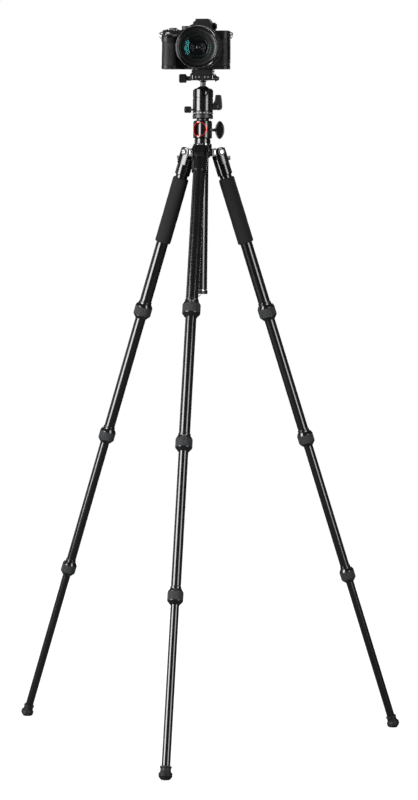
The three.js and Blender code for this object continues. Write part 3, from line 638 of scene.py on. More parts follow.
def set_piece(name: str, form: Form, body: str, where: Matrix, nodes: Sequence[str] = (),
              smooth: float = 32.0) -> bpy.types.Object:
    """Makes a piece and fixes it to its body.

    Args:
        name: The piece's name.
        form: Its shape in its own frame.
        body: The body that it rides on.
        where: Its frame, in millimetres.
        nodes: The plain solids that it stands for.
        smooth: Faces that meet at less than this angle, in degrees, shade as one.

    Returns:
        The object.
    """
    finishes = list(dict.fromkeys(form.finishes))
    mesh = form.mesh(name, Matrix.Scale(MM, 4) @ where, finishes)
    piece = bpy.data.objects.new(name, mesh)
    bpy.context.scene.collection.objects.link(piece)
    _face_outwards(mesh)
    mesh.shade_smooth()
    mesh.set_sharp_from_angle(angle=math.radians(smooth))
    even = piece.modifiers.new("even_shading", "WEIGHTED_NORMAL")
    even.keep_sharp = True
    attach(piece, body)
    if nodes:
        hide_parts(*nodes)
    LOG.info("%s rides on %s with %d faces", name, body, len(mesh.polygons))
    return piece


def _face_outwards(mesh: bpy.types.Mesh) -> None:
    """Turns every shell's faces outwards and drops loose corners."""
    work = bmesh.new()
    work.from_mesh(mesh)
    bmesh.ops.remove_doubles(work, verts=work.verts, dist=2e-6)
    bmesh.ops.recalc_face_normals(work, faces=work.faces)
    work.to_mesh(mesh)
    work.free()


# ---------------------------------------------------------------- where things stand


def middle(node: str) -> Vector:
    """The middle of a plain solid's box, in millimetres."""
    low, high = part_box(node)
    return (low + high) / 2 / MM


def span(node: str) -> tuple[float, float]:
    """The lowest and highest point of a plain solid, in millimetres."""
    low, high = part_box(node)
    return low.z / MM, high.z / MM


@dataclass
class Stance:
    """The frames that the pieces are set in, in millimetres."""

    leg_tilt: float = 19.44
    pivot_radius: float = 34.2
    pan: float = 1.4
    nod: float = 6.0
    ball_below_rim: float = 9.0
    camera_up: float = 47.0
    axis_up: float = 41.0
    base: Matrix = field(init=False)
    pivot_height: float = field(init=False)

    def __post_init__(self) -> None:
        """Finds the column's axis and the legs' pivots."""
        column = middle("column")
        self.base = Matrix.Translation((column.x, column.y, 0))
        self.pivot_height = middle("pivot_bolt_front").z

    def hip(self, turn: float) -> Matrix:
        """A leg pivot's frame: X points out and Y along the bolt."""
        spin = Matrix.Rotation(math.radians(turn), 4, "Z")
        return self.base @ spin @ Matrix.Translation((self.pivot_radius, 0, self.pivot_height))

    def leg(self, turn: float) -> Matrix:
        """A leg's frame: -Z runs down the leg and X is its outer side."""
        return self.hip(turn) @ Matrix.Rotation(-math.radians(self.leg_tilt), 4, "Y")

    def turntable(self) -> Matrix:
        """The panned frame of the ball head, on the floor."""
        return self.base @ Matrix.Rotation(math.radians(self.pan), 4, "Z")

    def head(self) -> Matrix:
        """The nodded frame, at the middle of the ball."""
        height = span("ball_housing")[1] - self.ball_below_rim
        nod = Matrix.Rotation(math.radians(self.nod), 4, "X")
        return self.turntable() @ Matrix.Translation((0, 0, height)) @ nod

    def camera(self) -> Matrix:
        """The camera's frame, at its underside."""
        return self.head() @ Matrix.Translation((0, 0, self.camera_up))

    def lens(self) -> Matrix:
        """The lens's frame, whose Z runs forward along its axis."""
        return self.camera() @ Matrix.Translation((0, 0, self.axis_up)) @ Turn.FORWARD.value


# ---------------------------------------------------------------- legs


class Side(Enum):
    """The three legs and their bearings in degrees."""

    FRONT = -90
    RIGHT = 30
    LEFT = 150

    @property
    def word(self) -> str:
        """The leg's name as the model spells it."""
        return self.name.lower()


@dataclass
class Leg:
    """One leg: its yoke, four tubes, three twist locks, foot and perhaps a foam grip."""

    stance: Stance
    side: Side
    collars: tuple[float, ...] = (331.8, 599.7, 893.5)
    reach: float = 1228.9
    tube_radii: tuple[float, ...] = (12.0, 10.6, 9.2, 7.8)
    wall: float = 1.1
    tube_start: float = 20.0
    overlap: float = 60.0
    collar_radii: tuple[float, ...] = (17.5, 16.2, 14.9)
    collar_lengths: tuple[float, ...] = (31.0, 30.0, 29.5)
    bush_wall: float = 1.2
    bush_shows: float = 4.5
    lip: float = 9.0
    top_slope: float = 5.5
    bottom_slope: float = 7.0
    gap: float = 0.3
    arm_half: float = 12.95
    cheek: float = 2.4
    knuckle: float = 10.0
    web_top: float = 10.5
    crown: float = 27.0
    panel_at: float = 9.9
    panel_half: float = 10.3
    panel_top: float = 6.6
    sleeve_radius: float = 14.9
    sleeve_end: float = 47.0
    tab_start: float = 12.3
    tab_height: float = 4.6
    tab_half: float = 8.5
    tab_reach: float = 18.6
    grip_span: Pair = (52.7, 187.0)
    grip_radius: float = 16.0
    foot_length: float = 24.5

    def bolt(self) -> Form:
        """The pivot bolt with a slotted cap at each end."""
        grip = self.arm_half + self.cheek + self.gap
        end = grip + 1.9
        cap = turned([(0, grip), (4.4, grip), (4.4, end - 0.5), (3.6, end), (0, end)], STEEL, 40, 0.3)
        slot = brick(-6, 6, -0.7, 0.7, end - 0.8, end + 2, SATIN, 0.2, 0.1)
        cap = cap.cut(slot)
        shaft = rod(3.0, -grip - 0.2, grip + 0.2, STEEL, sides=32)
        return Turn.FORWARD.lay(shaft.with_(cap, Turn.DOWN.lay(cap)))

    def yoke(self) -> Form:
        """Two cheeks over a turned sleeve that holds the top tube."""
        outside = self.arm_half + self.cheek
        outline = [(-self.knuckle, -self.web_top - 14), (self.knuckle, -self.web_top - 14)]
        for step in range(17):
            turn = math.pi * step / 16
            outline.append((self.knuckle * math.cos(turn), self.knuckle * math.sin(turn)))
        cheeks = Turn.FORWARD.lay(slab(outline, -outside, outside, GLOSS, 1.1))
        crown = rod(self.crown, -self.web_top - 30, 30, GLOSS)
        for side in (-1, 1):
            cheeks = cheeks.boolean("INTERSECT", [crown.at(0, side * (outside - self.crown), 0)])
        panel = brick(
            self.panel_at, self.panel_at + 2.5, -self.panel_half,
            self.panel_half, -self.web_top - 6, self.panel_top,
            GLOSS, 0.7, 0.7,
        )
        barrel = turned([
            (0, -self.sleeve_end), (self.sleeve_radius - 1.4, -self.sleeve_end),
            (self.sleeve_radius, -self.sleeve_end + 1.4), (self.sleeve_radius, -self.web_top - 1.5),
            (self.sleeve_radius - 1.5, -self.web_top), (0, -self.web_top),
        ], GLOSS, FINE, 0.4)
        room = brick(-40, 40, -self.arm_half, self.arm_half, -self.web_top, 40, GLOSS, 0.5, 0.2)
        bore = rod(self.tube_radii[0] + self.gap, -self.sleeve_end - 5, -self.tube_start, SATIN)
        pocket = brick(
            4.7, 40, -self.tab_half - 0.3, self.tab_half + 0.3,
            -self.tab_start - self.tab_height - 0.3, -self.tab_start + 0.3, SATIN, 0.3, 0.2,
        )
        groove = sleeve(
            self.sleeve_radius - 0.5, self.sleeve_radius + 2, -self.sleeve_end + 5.2, -self.sleeve_end + 4,
            SATIN, 0.1
        )
        return cheeks.fused(barrel).cut(room, bore, pocket, groove).with_(panel)

    def washers(self) -> Form:
        """Thin bright rings under the caps of the pivot bolt."""
        outside = self.arm_half + self.cheek
        ring = sleeve(4.5, 6.6, outside - 0.3, outside + 0.25, LIT_SATIN, 0.12)
        return Turn.FORWARD.lay(ring.with_(Turn.DOWN.lay(ring)))

    def angle_tab(self) -> Form:
        """The sliding tab that sets the leg's angle, with a ridged lip to pull."""
        foot = -self.tab_start - self.tab_height
        slider = brick(
            5, self.tab_reach, -self.tab_half, self.tab_half, foot, -self.tab_start, SATIN, 0.8, 0.4
        )
        lip = brick(
            self.tab_reach - 2.2, self.tab_reach, 3 - self.tab_half, self.tab_half - 3, foot - 4,
            -self.tab_start - 1, LIT_SATIN, 0.6, 0.5
        )
        ridges = [
            brick(
                self.tab_reach - 0.6, self.tab_reach + 0.35, 3.6 - self.tab_half, self.tab_half - 3.6, z,
                z + 0.8, LIT_SATIN, 0.2, 0.2
            )
            for z in (foot - 3.2, foot - 1.6, foot)
        ]
        return slider.with_(lip, *ridges)

    def tube(self, section: int) -> Form:
        """A tube, which ends in a bright threaded bush unless it is the last."""
        r = self.tube_radii[section]
        bore = r - self.wall
        if section == 3:
            bottom = -(self.reach - self.foot_length + 10)
            return sleeve(bore, r, bottom, -(self.collars[2] - self.overlap), GLOSS, 0.3)
        top = -self.tube_start if section == 0 else -(self.collars[section - 1] - self.overlap)
        half = self.collar_lengths[section] / 2
        bush = r + self.bush_wall
        shows = -(self.collars[section] - half - self.bush_shows)
        end = -(self.collars[section] + half - self.lip)
        outline = [
            (bush, end), (bush, shows - 2.2), (
                bush - 0.5, shows - 2.0
            ), (bush - 0.5, shows - 1.7), (bush, shows - 1.5),
            (bush, shows), (r, shows + 0.6), (r, top), (bore, top), (bore, end),
        ]
        form = turned(outline, GLOSS, FINE, 0.3)
        return form.painted(BUSH, lambda p: p.z < shows + 0.3 and math.hypot(p.x, p.y) > r + 0.1)

    def twist_lock(self, section: int) -> Form:
        """A ribbed rubber collar between two plain cones."""
        outer = self.collar_radii[section]
        half = self.collar_lengths[section] / 2
        centre = -self.collars[section]
        wide = self.tube_radii[section] + self.bush_wall + self.gap
        narrow = self.tube_radii[section + 1] + self.gap
        shoulder = centre - half + self.lip - self.gap
        low, high = centre - half + self.bottom_slope, centre + half - self.top_slope
        outline = [
            (
                narrow + 0.8, centre - half
            ), (outer - 0.4, low - 0.5), (outer - 0.4, low + 0.3), (outer, low + 0.8),
            (outer, high - 0.8), (outer - 0.4, high - 0.3), (outer - 0.4, high + 0.4), (
                wide + 0.8, centre + half
            ),
            (wide, centre + half), (wide, shoulder), (narrow, shoulder), (narrow, centre - half),
        ]
        form = turned(outline, GLOSS, FINE, 0.3, Ribs(44, 0.45, low + 1.2, high - 1.2))
        return form.painted(
            RUBBER, lambda p: low + 0.5 < p.z < high - 0.5 and math.hypot(p.x, p.y) > outer - 1.2
        )

    def foot(self) -> Form:
        """A rubber foot with a waist, a grooved bulb and a sole cut level with the floor."""
        top = -(self.reach - self.foot_length)
        bottom = -(self.reach + 1.8)
        bore = self.tube_radii[3] + self.gap
        socket = top - 10 - self.gap
        outline = [
            (0, bottom), (5, bottom), (9.7, bottom + 4), (12.3, bottom + 7.4), (12.7, bottom + 8.4),
            (12.2, bottom + 9.4), (12.7, bottom + 10.4), (12.2, bottom + 11.4), (12.7, bottom + 12.4),
            (12.3, bottom + 13.8), (9.7, bottom + 16.6), (9.6, top - 4), (10.5, top - 2.8), (10.7, top - 1),
            (10.3, top), (bore, top), (bore, socket), (0, socket),
        ]
        whole = turned(outline, FOOT_RUBBER, FINE, 0.35)
        level = Matrix.Translation((0, 0, -self.reach)) @ Matrix.Rotation(
            math.radians(self.stance.leg_tilt), 4, "Y"
        )
        treads = [brick(-20, 20, y, y + 1.0, -8, 0.9, FOOT_RUBBER, 0.2, 0.1) for y in (-5.5, -2.5, 0.5, 3.5)]
        floor = brick(-60, 60, -60, 60, -60, 0, FOOT_RUBBER, 1, 0.2)
        return whole.cut(floor.moved(level), *[t.moved(level) for t in treads])

    def grip(self) -> Form:
        """A foam sleeve with full rounded ends, pressed a little out of true."""
        start, end = self.grip_span
        bore = self.tube_radii[0] + self.gap
        rings = []
        levels = [(0.0, 2.6), (0.4, 1.2), (1.4, 0.35), (3.0, 0.0)]
        heights = [(-end + z, self.grip_radius - pull) for z, pull in levels]
        steps = 24
        for i in range(1, steps):
            heights.append((-end + 3 + (end - start - 6) * i / steps, self.grip_radius))
        heights += [(-start - z, self.grip_radius - pull) for z, pull in reversed(levels)]
        sides = 72
        for z, radius in heights:
            ring = []
            for i in range(sides):
                turn = 2 * math.pi * i / sides
                soft = 0.16 * math.sin(3 * turn + z * 0.05) * math.sin(z * 0.11)
                soft += 0.08 * math.sin(5 * turn - z * 0.3)
                reach = radius - 0.24 + soft
                ring.append(Vector((reach * math.cos(turn), reach * math.sin(turn), z)))
            rings.append(ring)
        for z in (-start, -end):
            rings.append(
                [
                    Vector((bore * math.cos(t), bore * math.sin(t), z))
                    for t in (2 * math.pi * i / sides for i in range(sides))
                ]
            )
        return loft(rings, FOAM, closed=True)

    def build(self) -> None:
        """Makes the leg's pieces."""
        word = self.side.word
        here, hip = self.stance.leg(self.side.value), self.stance.hip(self.side.value)
        body = f"leg_{word}"
        set_piece(f"{word}_pivot_bolt", self.bolt(), "spider", hip, [f"pivot_bolt_{word}"])
        set_piece(f"{word}_yoke", self.yoke(), body, here, [f"leg_yoke_{word}"])
        set_piece(f"{word}_washers", self.washers(), body, here)
        set_piece(f"{word}_angle_tab", self.angle_tab(), f"{body}_angle_lock", here, [f"angle_lock_{word}"])
        for section in range(4):
            carrier = body if section == 0 else f"{body}_section_{section + 1}"
            set_piece(
                f"{word}_tube_{section + 1}", self.tube(section), carrier, here,
                [f"leg_tube_{section + 1}_{word}"]
            )
        for section in range(3):
            lock = f"twist_lock_{section + 1}"
            set_piece(
                f"{word}_{lock}", self.twist_lock(section), f"{body}_{lock}", here, [f"{lock}_{word}"], 25
            )
        set_piece(f"{word}_foot", self.foot(), f"{body}_section_4", here, [f"foot_{word}"])
        if self.side is not Side.FRONT:
            grip = set_piece(f"{word}_grip", self.grip(), body, here, [f"foam_grip_{word}"], 60)


# ---------------------------------------------------------------- spider and column


@dataclass
class Spine:
    """The spider, the centre column and the pivot head with its red window."""

    stance: Stance
    hub_radius: float = 18.4
    barrel_radius: float = 15.0
    arm_half: float = 12.65
    arm_round: float = 9.3
    arm_top: float = 6.2
    column_radius: float = 12.5
    gap: float = 0.3
    block_radius: float = 18.65
    neck_radius: float = 15.85
    neck_height: float = 10.0
    window_up: float = 17.4
    window_turn: float = -16.0
    window_radius: float = 14.5

    def spider(self) -> Form:
        """The hub with three arms that the legs fold on."""
        low, high = span("spider")
        pivot = self.stance.pivot_height
        bore = self.column_radius + self.gap
        hub = turned([
            (bore, low), (self.barrel_radius - 0.8, low), (self.barrel_radius, low + 0.8),
            (self.barrel_radius, pivot - self.arm_round), (self.hub_radius, pivot - self.arm_round),
            (self.hub_radius, high - 3.2), (
                self.hub_radius - 0.6, high - 2.9
            ), (self.hub_radius - 0.6, high - 2.4),
            (self.hub_radius, high - 2.1), (self.hub_radius, high), (bore, high),
        ], SATIN, 96, 0.35)
        reach = self.stance.pivot_radius
        outline = [(self.hub_radius - 3.5, -self.arm_round), (reach, -self.arm_round)]
        for step in range(1, 13):
            turn = -math.pi / 2 + math.pi * step / 12
            outline.append((reach + self.arm_round * math.cos(turn), self.arm_round * math.sin(turn)))
        outline += [(reach - self.arm_round, self.arm_top), (self.hub_radius - 3.5, self.arm_top)]
        arm = Turn.FORWARD.lay(slab(outline, -self.arm_half, self.arm_half, SATIN, 0.9)).at(0, 0, pivot)
        pin = Turn.FORWARD.lay(rod(3.3, -20, 20, SATIN)).at(reach, 0, pivot)
        arm = arm.cut(pin)
        return hub.with_(around(arm, 3, -90))

    def arm_screws(self) -> Form:
        """A bright upright pin in each flank of each arm, next to the hub."""
        pin = slab(
            plan(-1.5, 1.5, -4.2, 4.2, [1.45] * 4), self.arm_half - 0.2, self.arm_half + 0.7, STEEL, 0.4
        )
        pair = Turn.FORWARD.lay(pin.with_(Turn.DOWN.lay(pin)))
        return around(pair.at(self.hub_radius + 2.6, 0, self.stance.pivot_height - 1.5), 3, -90)

    def lock_ring(self) -> Form:
        """A notched ring that locks the column, with bright steel faces in its notches: painted glints."""
        low, high = span("column_lock_ring")
        ring = sleeve(self.column_radius + self.gap, self.hub_radius, low, high, SATIN, 0.5)
        # The notches' cut faces take this cutter's bright steel: painted glints on the dark ring.
        notch = brick(
            self.hub_radius - 1.6, self.hub_radius + 5, -1.5, 1.5, high - 2.4, high + 2, STEEL, 0.4, 0.3
        )
        return ring.cut(*[notch.moved(Matrix.Rotation(math.pi * i / 6, 4, "Z")) for i in range(12)])

    def column(self) -> Form:
        """The glossy column tube."""
        low, high = span("column")
        return sleeve(self.column_radius - 1.5, self.column_radius, low, high, GLOSS, 0.3)

    def cap(self) -> Form:
        """The column's bottom cap with a bright ring and a folded weight hook."""
        low, high = span("column_cap")
        top = span("column")[0] - self.gap
        ring = top - 2.6
        plug = turned([
            (0, low), (12.2, low), (13.2, low + 1), (13.2, ring - 0.4), (12.9, ring - 0.1),
            (12.9, top - 0.4), (12.5, top), (10.7, top), (10.7, high), (0, high),
        ], SATIN, FINE, 0.25).painted(STEEL, lambda p: ring - 0.2 < p.z < top and math.hypot(p.x, p.y) > 11)
        knurl = around(brick(12.7, 13.45, -0.35, 0.35, low + 1.4, ring - 0.9, SATIN, 0.1, 0.1), 36)
        hook = [
            Vector((-5 + 4.2 * math.cos(t), 0, low - 1.2 - 2.9 * math.sin(t)))
            for t in (math.pi * i / 14 for i in range(15))
        ]
        hook = [Vector((hook[0].x, 0, low + 1)), *hook, Vector((hook[-1].x, 0, low + 1))]
        return plug.with_(knurl, wire(hook, 0.9, STEEL, 12, closed=False))

    def head(self) -> Form:
        """The thick block on a sleeve, with a round window through it."""
        low, high = span("pivot_head")
        foot = low + self.neck_height
        bore = self.column_radius + self.gap
        roof = high - 2.2
        r = self.block_radius
        block = turned([
            (0, roof), (bore, roof), (bore, low), (
                self.neck_radius - 0.5, low
            ), (self.neck_radius, low + 0.5),
            (self.neck_radius, foot - 1.2), (
                self.neck_radius - 0.5, foot - 0.9
            ), (self.neck_radius - 0.5, foot),
            (r - 1.5, foot), (r, foot + 1.5), (r, high - 4.2), (r - 0.45, high - 3.9), (r - 0.45, high - 3.3),
            (r, high - 3.0), (r, high - 1.5), (r - 1.5, high), (0, high),
        ], GLOSS, 96, 0.3)
        window = Turn.FORWARD.lay(rod(self.window_radius, -40, 40, GLOSS))
        stem = Turn.ALONG_X.lay(rod(3.5, 12, 40, GLOSS))
        spin = Matrix.Rotation(math.radians(self.window_turn), 4, "Z")
        return block.cut(
            window.moved(spin).at(0, 0, foot + self.window_up), stem.at(0, 0, foot + self.window_up)
        )

    def liner(self) -> Form:
        """The red ring that lines the window and stands a little proud of the block."""
        foot = span("pivot_head")[0] + self.neck_height
        tube = turned([
            (14.45, -30), (14.45, 30), (13.15, 30), (13.15, -30),
        ], RED, 96)
        spin = Matrix.Rotation(math.radians(self.window_turn), 4, "Z")
        tube = Turn.FORWARD.lay(tube).moved(spin)
        hull = sleeve(self.column_radius + 0.5, self.block_radius + 0.35, -17.0, 17.0, RED, 0.2)
        return tube.boolean("INTERSECT", [hull]).at(0, 0, foot + self.window_up)

    def wing(self) -> Form:
        """The wing knob: a spade-shaped leaf with a ridge, on a bright stem."""
        half: list[Pair] = [
            (43.0, 0), (42.7, 5.2), (41.4, 9.6), (39.0, 13.8), (36.3, 16.9), (34.2, 17.9), (33.2, 17.9)
        ]
        rest: list[Pair] = [(31.2, 16.9), (28.4, 13.8), (26.2, 9.6), (25.0, 5.2), (24.6, 3.4)]
        upper = half + rest
        outline = upper + [(x, -z) for x, z in reversed(upper[1:])]
        leaf = Turn.FORWARD.lay(slab(rounded(outline, 1.5, 2), -2.5, 2.5, GLOSS, 2.4))
        ridge = Turn.ALONG_X.lay(turned([
            (0, 22.5), (3.4, 22.5), (3.4, 26.5), (2.9, 31), (2.9, 38), (1.6, 42.4), (0, 42.6),
        ], GLOSS, 40, 0.6))
        stem = Turn.ALONG_X.lay(turned([(0, 13.6), (3.2, 13.6), (3.2, 23), (0, 23)], STEEL, 40, 0.3))
        foot = span("pivot_head")[0] + self.neck_height
        return leaf.with_(ridge, stem).at(0, 0, foot + self.window_up)

    def build(self) -> None:
        """Makes the spider's and the column's pieces."""
        base = self.stance.base
        set_piece("leg_spider", self.spider(), "spider", base, ["spider"])
        set_piece("spider_arm_screws", self.arm_screws(), "spider", base)
        set_piece("column_ring", self.lock_ring(), "column_lock_ring", base, ["column_lock_ring"])
        set_piece("column_tube", self.column(), "column", base, ["column"])
        set_piece("column_end", self.cap(), "column", base, ["column_cap"])
        set_piece("pivot_block", self.head(), "column", base, ["pivot_head"])
        set_piece("window_liner", self.liner(), "column", base)
        set_piece("wing", self.wing(), "wing_knob", base, ["wing_knob"])


# ---------------------------------------------------------------- ball head


@dataclass
class BallHead:
    """The panning base, the ball in its housing and the clamp with its plate."""

    stance: Stance
    base_radius: float = 20.0
    housing_radius: float = 20.0
    ball_radius: float = 16.0
    gap: float = 0.3
    lever_up: float = 10.0
    knob_up: float = 4.2
    clamp_foot: float = 25.5
    clamp_floor: float = 35.9
    clamp_top: float = 41.2
    clamp_half: float = 23.3
    clamp_length: float = 50.0
    jaw: float = 3.7
    screw_up: float = 29.6
    rail: Pair = (18.9, 16.0)
    plate_half: float = 20.3
    plate_length: float = 52.0
    plate_top: float = 46.7

    def pan_base(self) -> Form:
        """A dark disc under a scale ring with fine pale marks."""
        foot, top = span("pan_base")
        disc = foot + 3.2
        split = disc + 8.7
        spin = self.base_radius
        form = turned([
            (0, foot), (12, foot), (12, disc), (spin - 1.2, disc), (spin, disc + 1.2), (spin, split - 0.9),
            (
                spin - 1.1, split - 0.5
            ), (spin - 1.1, split + 0.3), (spin - 0.1, split + 0.6), (spin - 0.1, top - 3.5),
            (spin - 0.4, top - 3.2), (12, top - 3.2), (12, top), (0, top),
        ], SATIN, 96, 0.3)
        tick = brick(spin - 0.4, spin + 0.04, -0.3, 0.3, split + 1.0, split + 2.4, MARK, 0.05, 0.05)
        long = brick(spin - 0.4, spin + 0.04, -0.8, 0.8, split + 1.0, split + 3.8, MARK, 0.05, 0.05)
        rib = brick(spin - 0.5, spin + 0.05, -0.45, 0.45, disc + 1.8, split - 1.4, LIT_SATIN, 0.3, 0.2)
        return form.with_(around(tick, 36), around(long, 18, 5), around(rib, 60, 3))

    def housing(self) -> Form:
        """The ball's housing, with a slot for the stem and a chamfered rim."""
        foot, rim = span("ball_housing")
        r = self.housing_radius
        centre = rim - self.stance.ball_below_rim
        socket = self.ball_radius + self.gap
        outline: list[Pair] = [
            (0, foot + 3.6), (12.4, foot + 3.6), (12.4, foot), (r - 0.6, foot), (r, foot + 0.6),
            (r, foot + 25.4), (r - 0.8, foot + 25.8), (r - 0.8, foot + 26.7), (r, foot + 27.1),
            (r, rim - 2.6), (r - 2.6, rim), (13.8, rim),
        ]
        first = math.asin(self.stance.ball_below_rim / socket)
        for i in range(17):
            turn = first - (first + math.pi / 2) * i / 16
            outline.append((0.0 if i == 16 else socket * math.cos(turn), centre + socket * math.sin(turn)))
        whole = turned(outline, GLOSS, 96)
        slot_outline = [(-7.0, 0.0)]
        for step in range(1, 13):
            turn = math.pi + math.pi * step / 12
            slot_outline.append((7 * math.cos(turn), 7 * math.sin(turn)))
        slot_outline += [(7.0, 30.0), (-7.0, 30.0)]
        slot = Turn.FORWARD.lay(slab(slot_outline, 8, 30, SATIN, 0.1)).at(0, 0, centre)
        slot = slot.moved(Matrix.Rotation(math.radians(15), 4, "Z"))
        lever = Turn.ALONG_X.lay(rod(3.4, 14, 30, SATIN)).at(0, 0, foot + self.lever_up)
        knob = Turn.ALONG_MINUS_X.lay(rod(2.6, 16, 30, SATIN)).at(0, 0, foot + self.knob_up)
        return whole.cut(slot, lever, knob)

    def index_mark(self) -> Form:
        """A pale line on the housing over the scale."""
        foot = span("ball_housing")[0]
        mark = brick(
            -0.35, 0.35, -self.housing_radius - 0.05, -self.housing_radius + 0.5, foot + 1, foot + 4, MARK,
            0.1, 0.05
        )
        return mark.moved(Matrix.Rotation(math.radians(-12), 4, "Z"))

    def lever(self) -> Form:
        """The main lever: a turned hub and an upright arm on a bright shaft."""
        inside = self.housing_radius + self.gap
        arm_outline = rounded([
            (inside, -7.0), (34.6, -7.0), (38, -2.2), (38, 4), (35.8, 23), (inside + 4.4, 23),
            (inside + 3.2, 12), (inside, 6),
        ], 2.6, 4)
        arm = Turn.FORWARD.lay(slab(arm_outline, -5.5, 5.5, LIT_SATIN, 1.8))
        hub = Turn.ALONG_X.lay(turned([
            (0, inside), (6.6, inside), (7, inside + 0.6), (7, 29), (6, 31), (0, 31),
        ], LIT_SATIN, FINE, 0.5))
        shaft = Turn.ALONG_X.lay(rod(3.0, 14.5, inside + 1, STEEL))
        ridges = [
            Turn.FORWARD.lay(
                brick(inside + 5.6, 34.2, z, z + 1.1, 5.2, 5.9, LIT_SATIN, 0.4, 0.2)
            ) for z in (8, 11, 14, 17)
        ]
        return arm.with_(hub, shaft, *ridges).at(0, 0, span("ball_housing")[0] + self.lever_up)

    def pan_knob(self) -> Form:
        """The knurled knob that locks the pan, on a bright stem."""
        knob = turned([
            (0, 23), (5.2, 23), (6.5, 24.3), (6.5, 35), (5.2, 36.4), (0, 36.4),
        ], SATIN, FINE, 0.5, Ribs(22, 0.4, 25.4, 34.0))
        dimple = turned([(0, 36.2), (3.2, 36.2), (3.2, 36.65), (2.6, 36.75), (0, 36.55)], LIT_SATIN, 40, 0.1)
        stem = rod(2.2, 16.6, 23.4, STEEL)
        return Turn.ALONG_MINUS_X.lay(knob.with_(dimple, stem)).at(
            0, 0, span("ball_housing")[0] + self.knob_up
        )

    def ball(self) -> Form:
        """The polished ball and its stem, which flares under the clamp."""
        stem = 5.4
        last = math.acos(stem / self.ball_radius)
        outline: list[Pair] = [(0, -self.ball_radius)]
        for i in range(1, 25):
            turn = -math.pi / 2 + (last + math.pi / 2) * i / 24
            outline.append((self.ball_radius * math.cos(turn), self.ball_radius * math.sin(turn)))
        flange = self.clamp_foot - self.gap
        outline += [
            (stem, 19.5), (stem - 0.4, 19.8), (stem - 0.4, 20.4),
            (stem, 20.7), (stem, 22.2), (7.2, 23.4), (10, 24.7),
            (10, flange), (4, flange), (4, 33), (0, 33),
        ]
        form = turned(outline, GLOSS, FINE)
        return form.painted(GLOSS, lambda p: 15.2 < p.z < 22.4)

    def _jaw_side(self, side: int) -> list[Pair]:
        """The outside of one jaw, from the plate's seat over its top and down."""
        seat = self.rail[0] + self.gap
        slope = self.clamp_floor + self.gap + 2.2
        lip = seat - (self.clamp_top - slope) * (self.rail[0] - self.rail[1]) / 2.9
        half = self.clamp_half
        points = [
            (seat, slope), (lip, self.clamp_top), (half - 3.4, self.clamp_top), (half, self.clamp_top - 3.7),
            (half, self.clamp_foot + 2), (half - 1.5, self.clamp_foot),
        ]
        return [(side * x, z) for x, z in points]

    def clamp(self) -> Form:
        """The fixed half of the clamp, with scale marks along its front and two thin bright steel bars there
        that are painted highlights along its edges.
        """
        split = -self.clamp_half + self.jaw + self.gap
        seat = self.rail[0] + self.gap
        outline = [
            (split, self.clamp_floor), (seat, self.clamp_floor), *self._jaw_side(1), (split, self.clamp_foot)
        ]
        body = Turn.FORWARD.lay(
            slab(outline[::-1], -self.clamp_length / 2, self.clamp_length / 2, SATIN, 0.5)
        )
        post = rod(4.3, self.clamp_foot - 3, 33.3, SATIN)
        screw = Turn.ALONG_MINUS_X.lay(rod(2.8, 5.5, 40, SATIN)).at(0, 0, self.screw_up)
        lock = Turn.ALONG_X.lay(rod(2.8, 5.5, 40, SATIN)).at(0, 0, self.screw_up)
        body = body.cut(post, screw, lock)
        front = -self.clamp_length / 2
        marks = [
            brick(
                x - 0.55, x + 0.55, front - 0.12, front + 0.5, self.clamp_foot + 5.0, self.clamp_foot + 8.6,
                MARK, 0.3, 0.05
            )
            for x in (-12.2, -5.6, 5.6, 12.2)
        ]
        # Painted highlights: thin bright steel bars standing in for the light along the jaw's split and the
        # far edge.
        edge_highlights = [
            brick(
                x, x + 0.8, front - 0.12, front + 0.5, self.clamp_foot + 2.5, self.clamp_floor - 0.5, STEEL,
                0.3, 0.05
            )
            for x in (-19.0, 20.6)
        ]
        level = sleeve(5.2, 6.4, self.clamp_floor - 0.3, self.clamp_floor + 0.08, STEEL, 0.04).at(8, 14, 0)
        return body.with_(*marks, *edge_highlights, level)

    def clamp_jaw(self) -> Form:
        """The jaw that the clamp's knob pulls in."""
        inside = -self.clamp_half + self.jaw
        step = self.clamp_floor + self.gap
        seat = -(self.rail[0] + self.gap)
        outline = [(inside, self.clamp_foot), (inside, step), (max(seat, inside), step), *self._jaw_side(-1)]
        body = Turn.FORWARD.lay(slab(outline, -self.clamp_length / 2, self.clamp_length / 2, LIT_SATIN, 0.45))
        return body.cut(Turn.ALONG_MINUS_X.lay(rod(2.8, 2, 40, LIT_SATIN)).at(0, 0, self.screw_up))

    def clamp_knob(self) -> Form:
        """A knurled knob with a neck, on the clamp's screw."""
        shoulder = self.clamp_half + self.gap
        knob = turned([
            (0, shoulder), (4.65, shoulder), (4.65, 33),
            (7.6, 33), (8.65, 34), (8.65, 46), (7.6, 47), (0, 47),
        ], SATIN, FINE, 0.5, Ribs(30, 0.45, 35.0, 45.0))
        face = turned([(0, 46.8), (5.6, 46.8), (5.6, 47.05), (5.2, 47.2), (0, 47.0)], LIT_SATIN, 48, 0.1)
        screw = rod(2.5, 5.8, shoulder + 0.5, STEEL)
        return Turn.ALONG_MINUS_X.lay(knob.with_(face, screw)).at(0, 0, self.screw_up)

    def clamp_lock(self) -> Form:
        """The small cone-shaped knob that locks the clamp's turntable."""
        shoulder = self.clamp_half + self.gap
        end = shoulder + 8
        knob = turned([
            (0, shoulder), (6.2, shoulder), (6.2, shoulder + 2), (3.9, end - 3), (3.0, end), (0, end),
        ], SATIN, FINE, 0.5, Ribs(18, 0.35, shoulder + 0.3, shoulder + 1.8))
        screw = rod(2.5, 5.8, shoulder + 0.5, STEEL)
        return Turn.ALONG_X.lay(knob.with_(screw)).at(0, 0, self.screw_up)

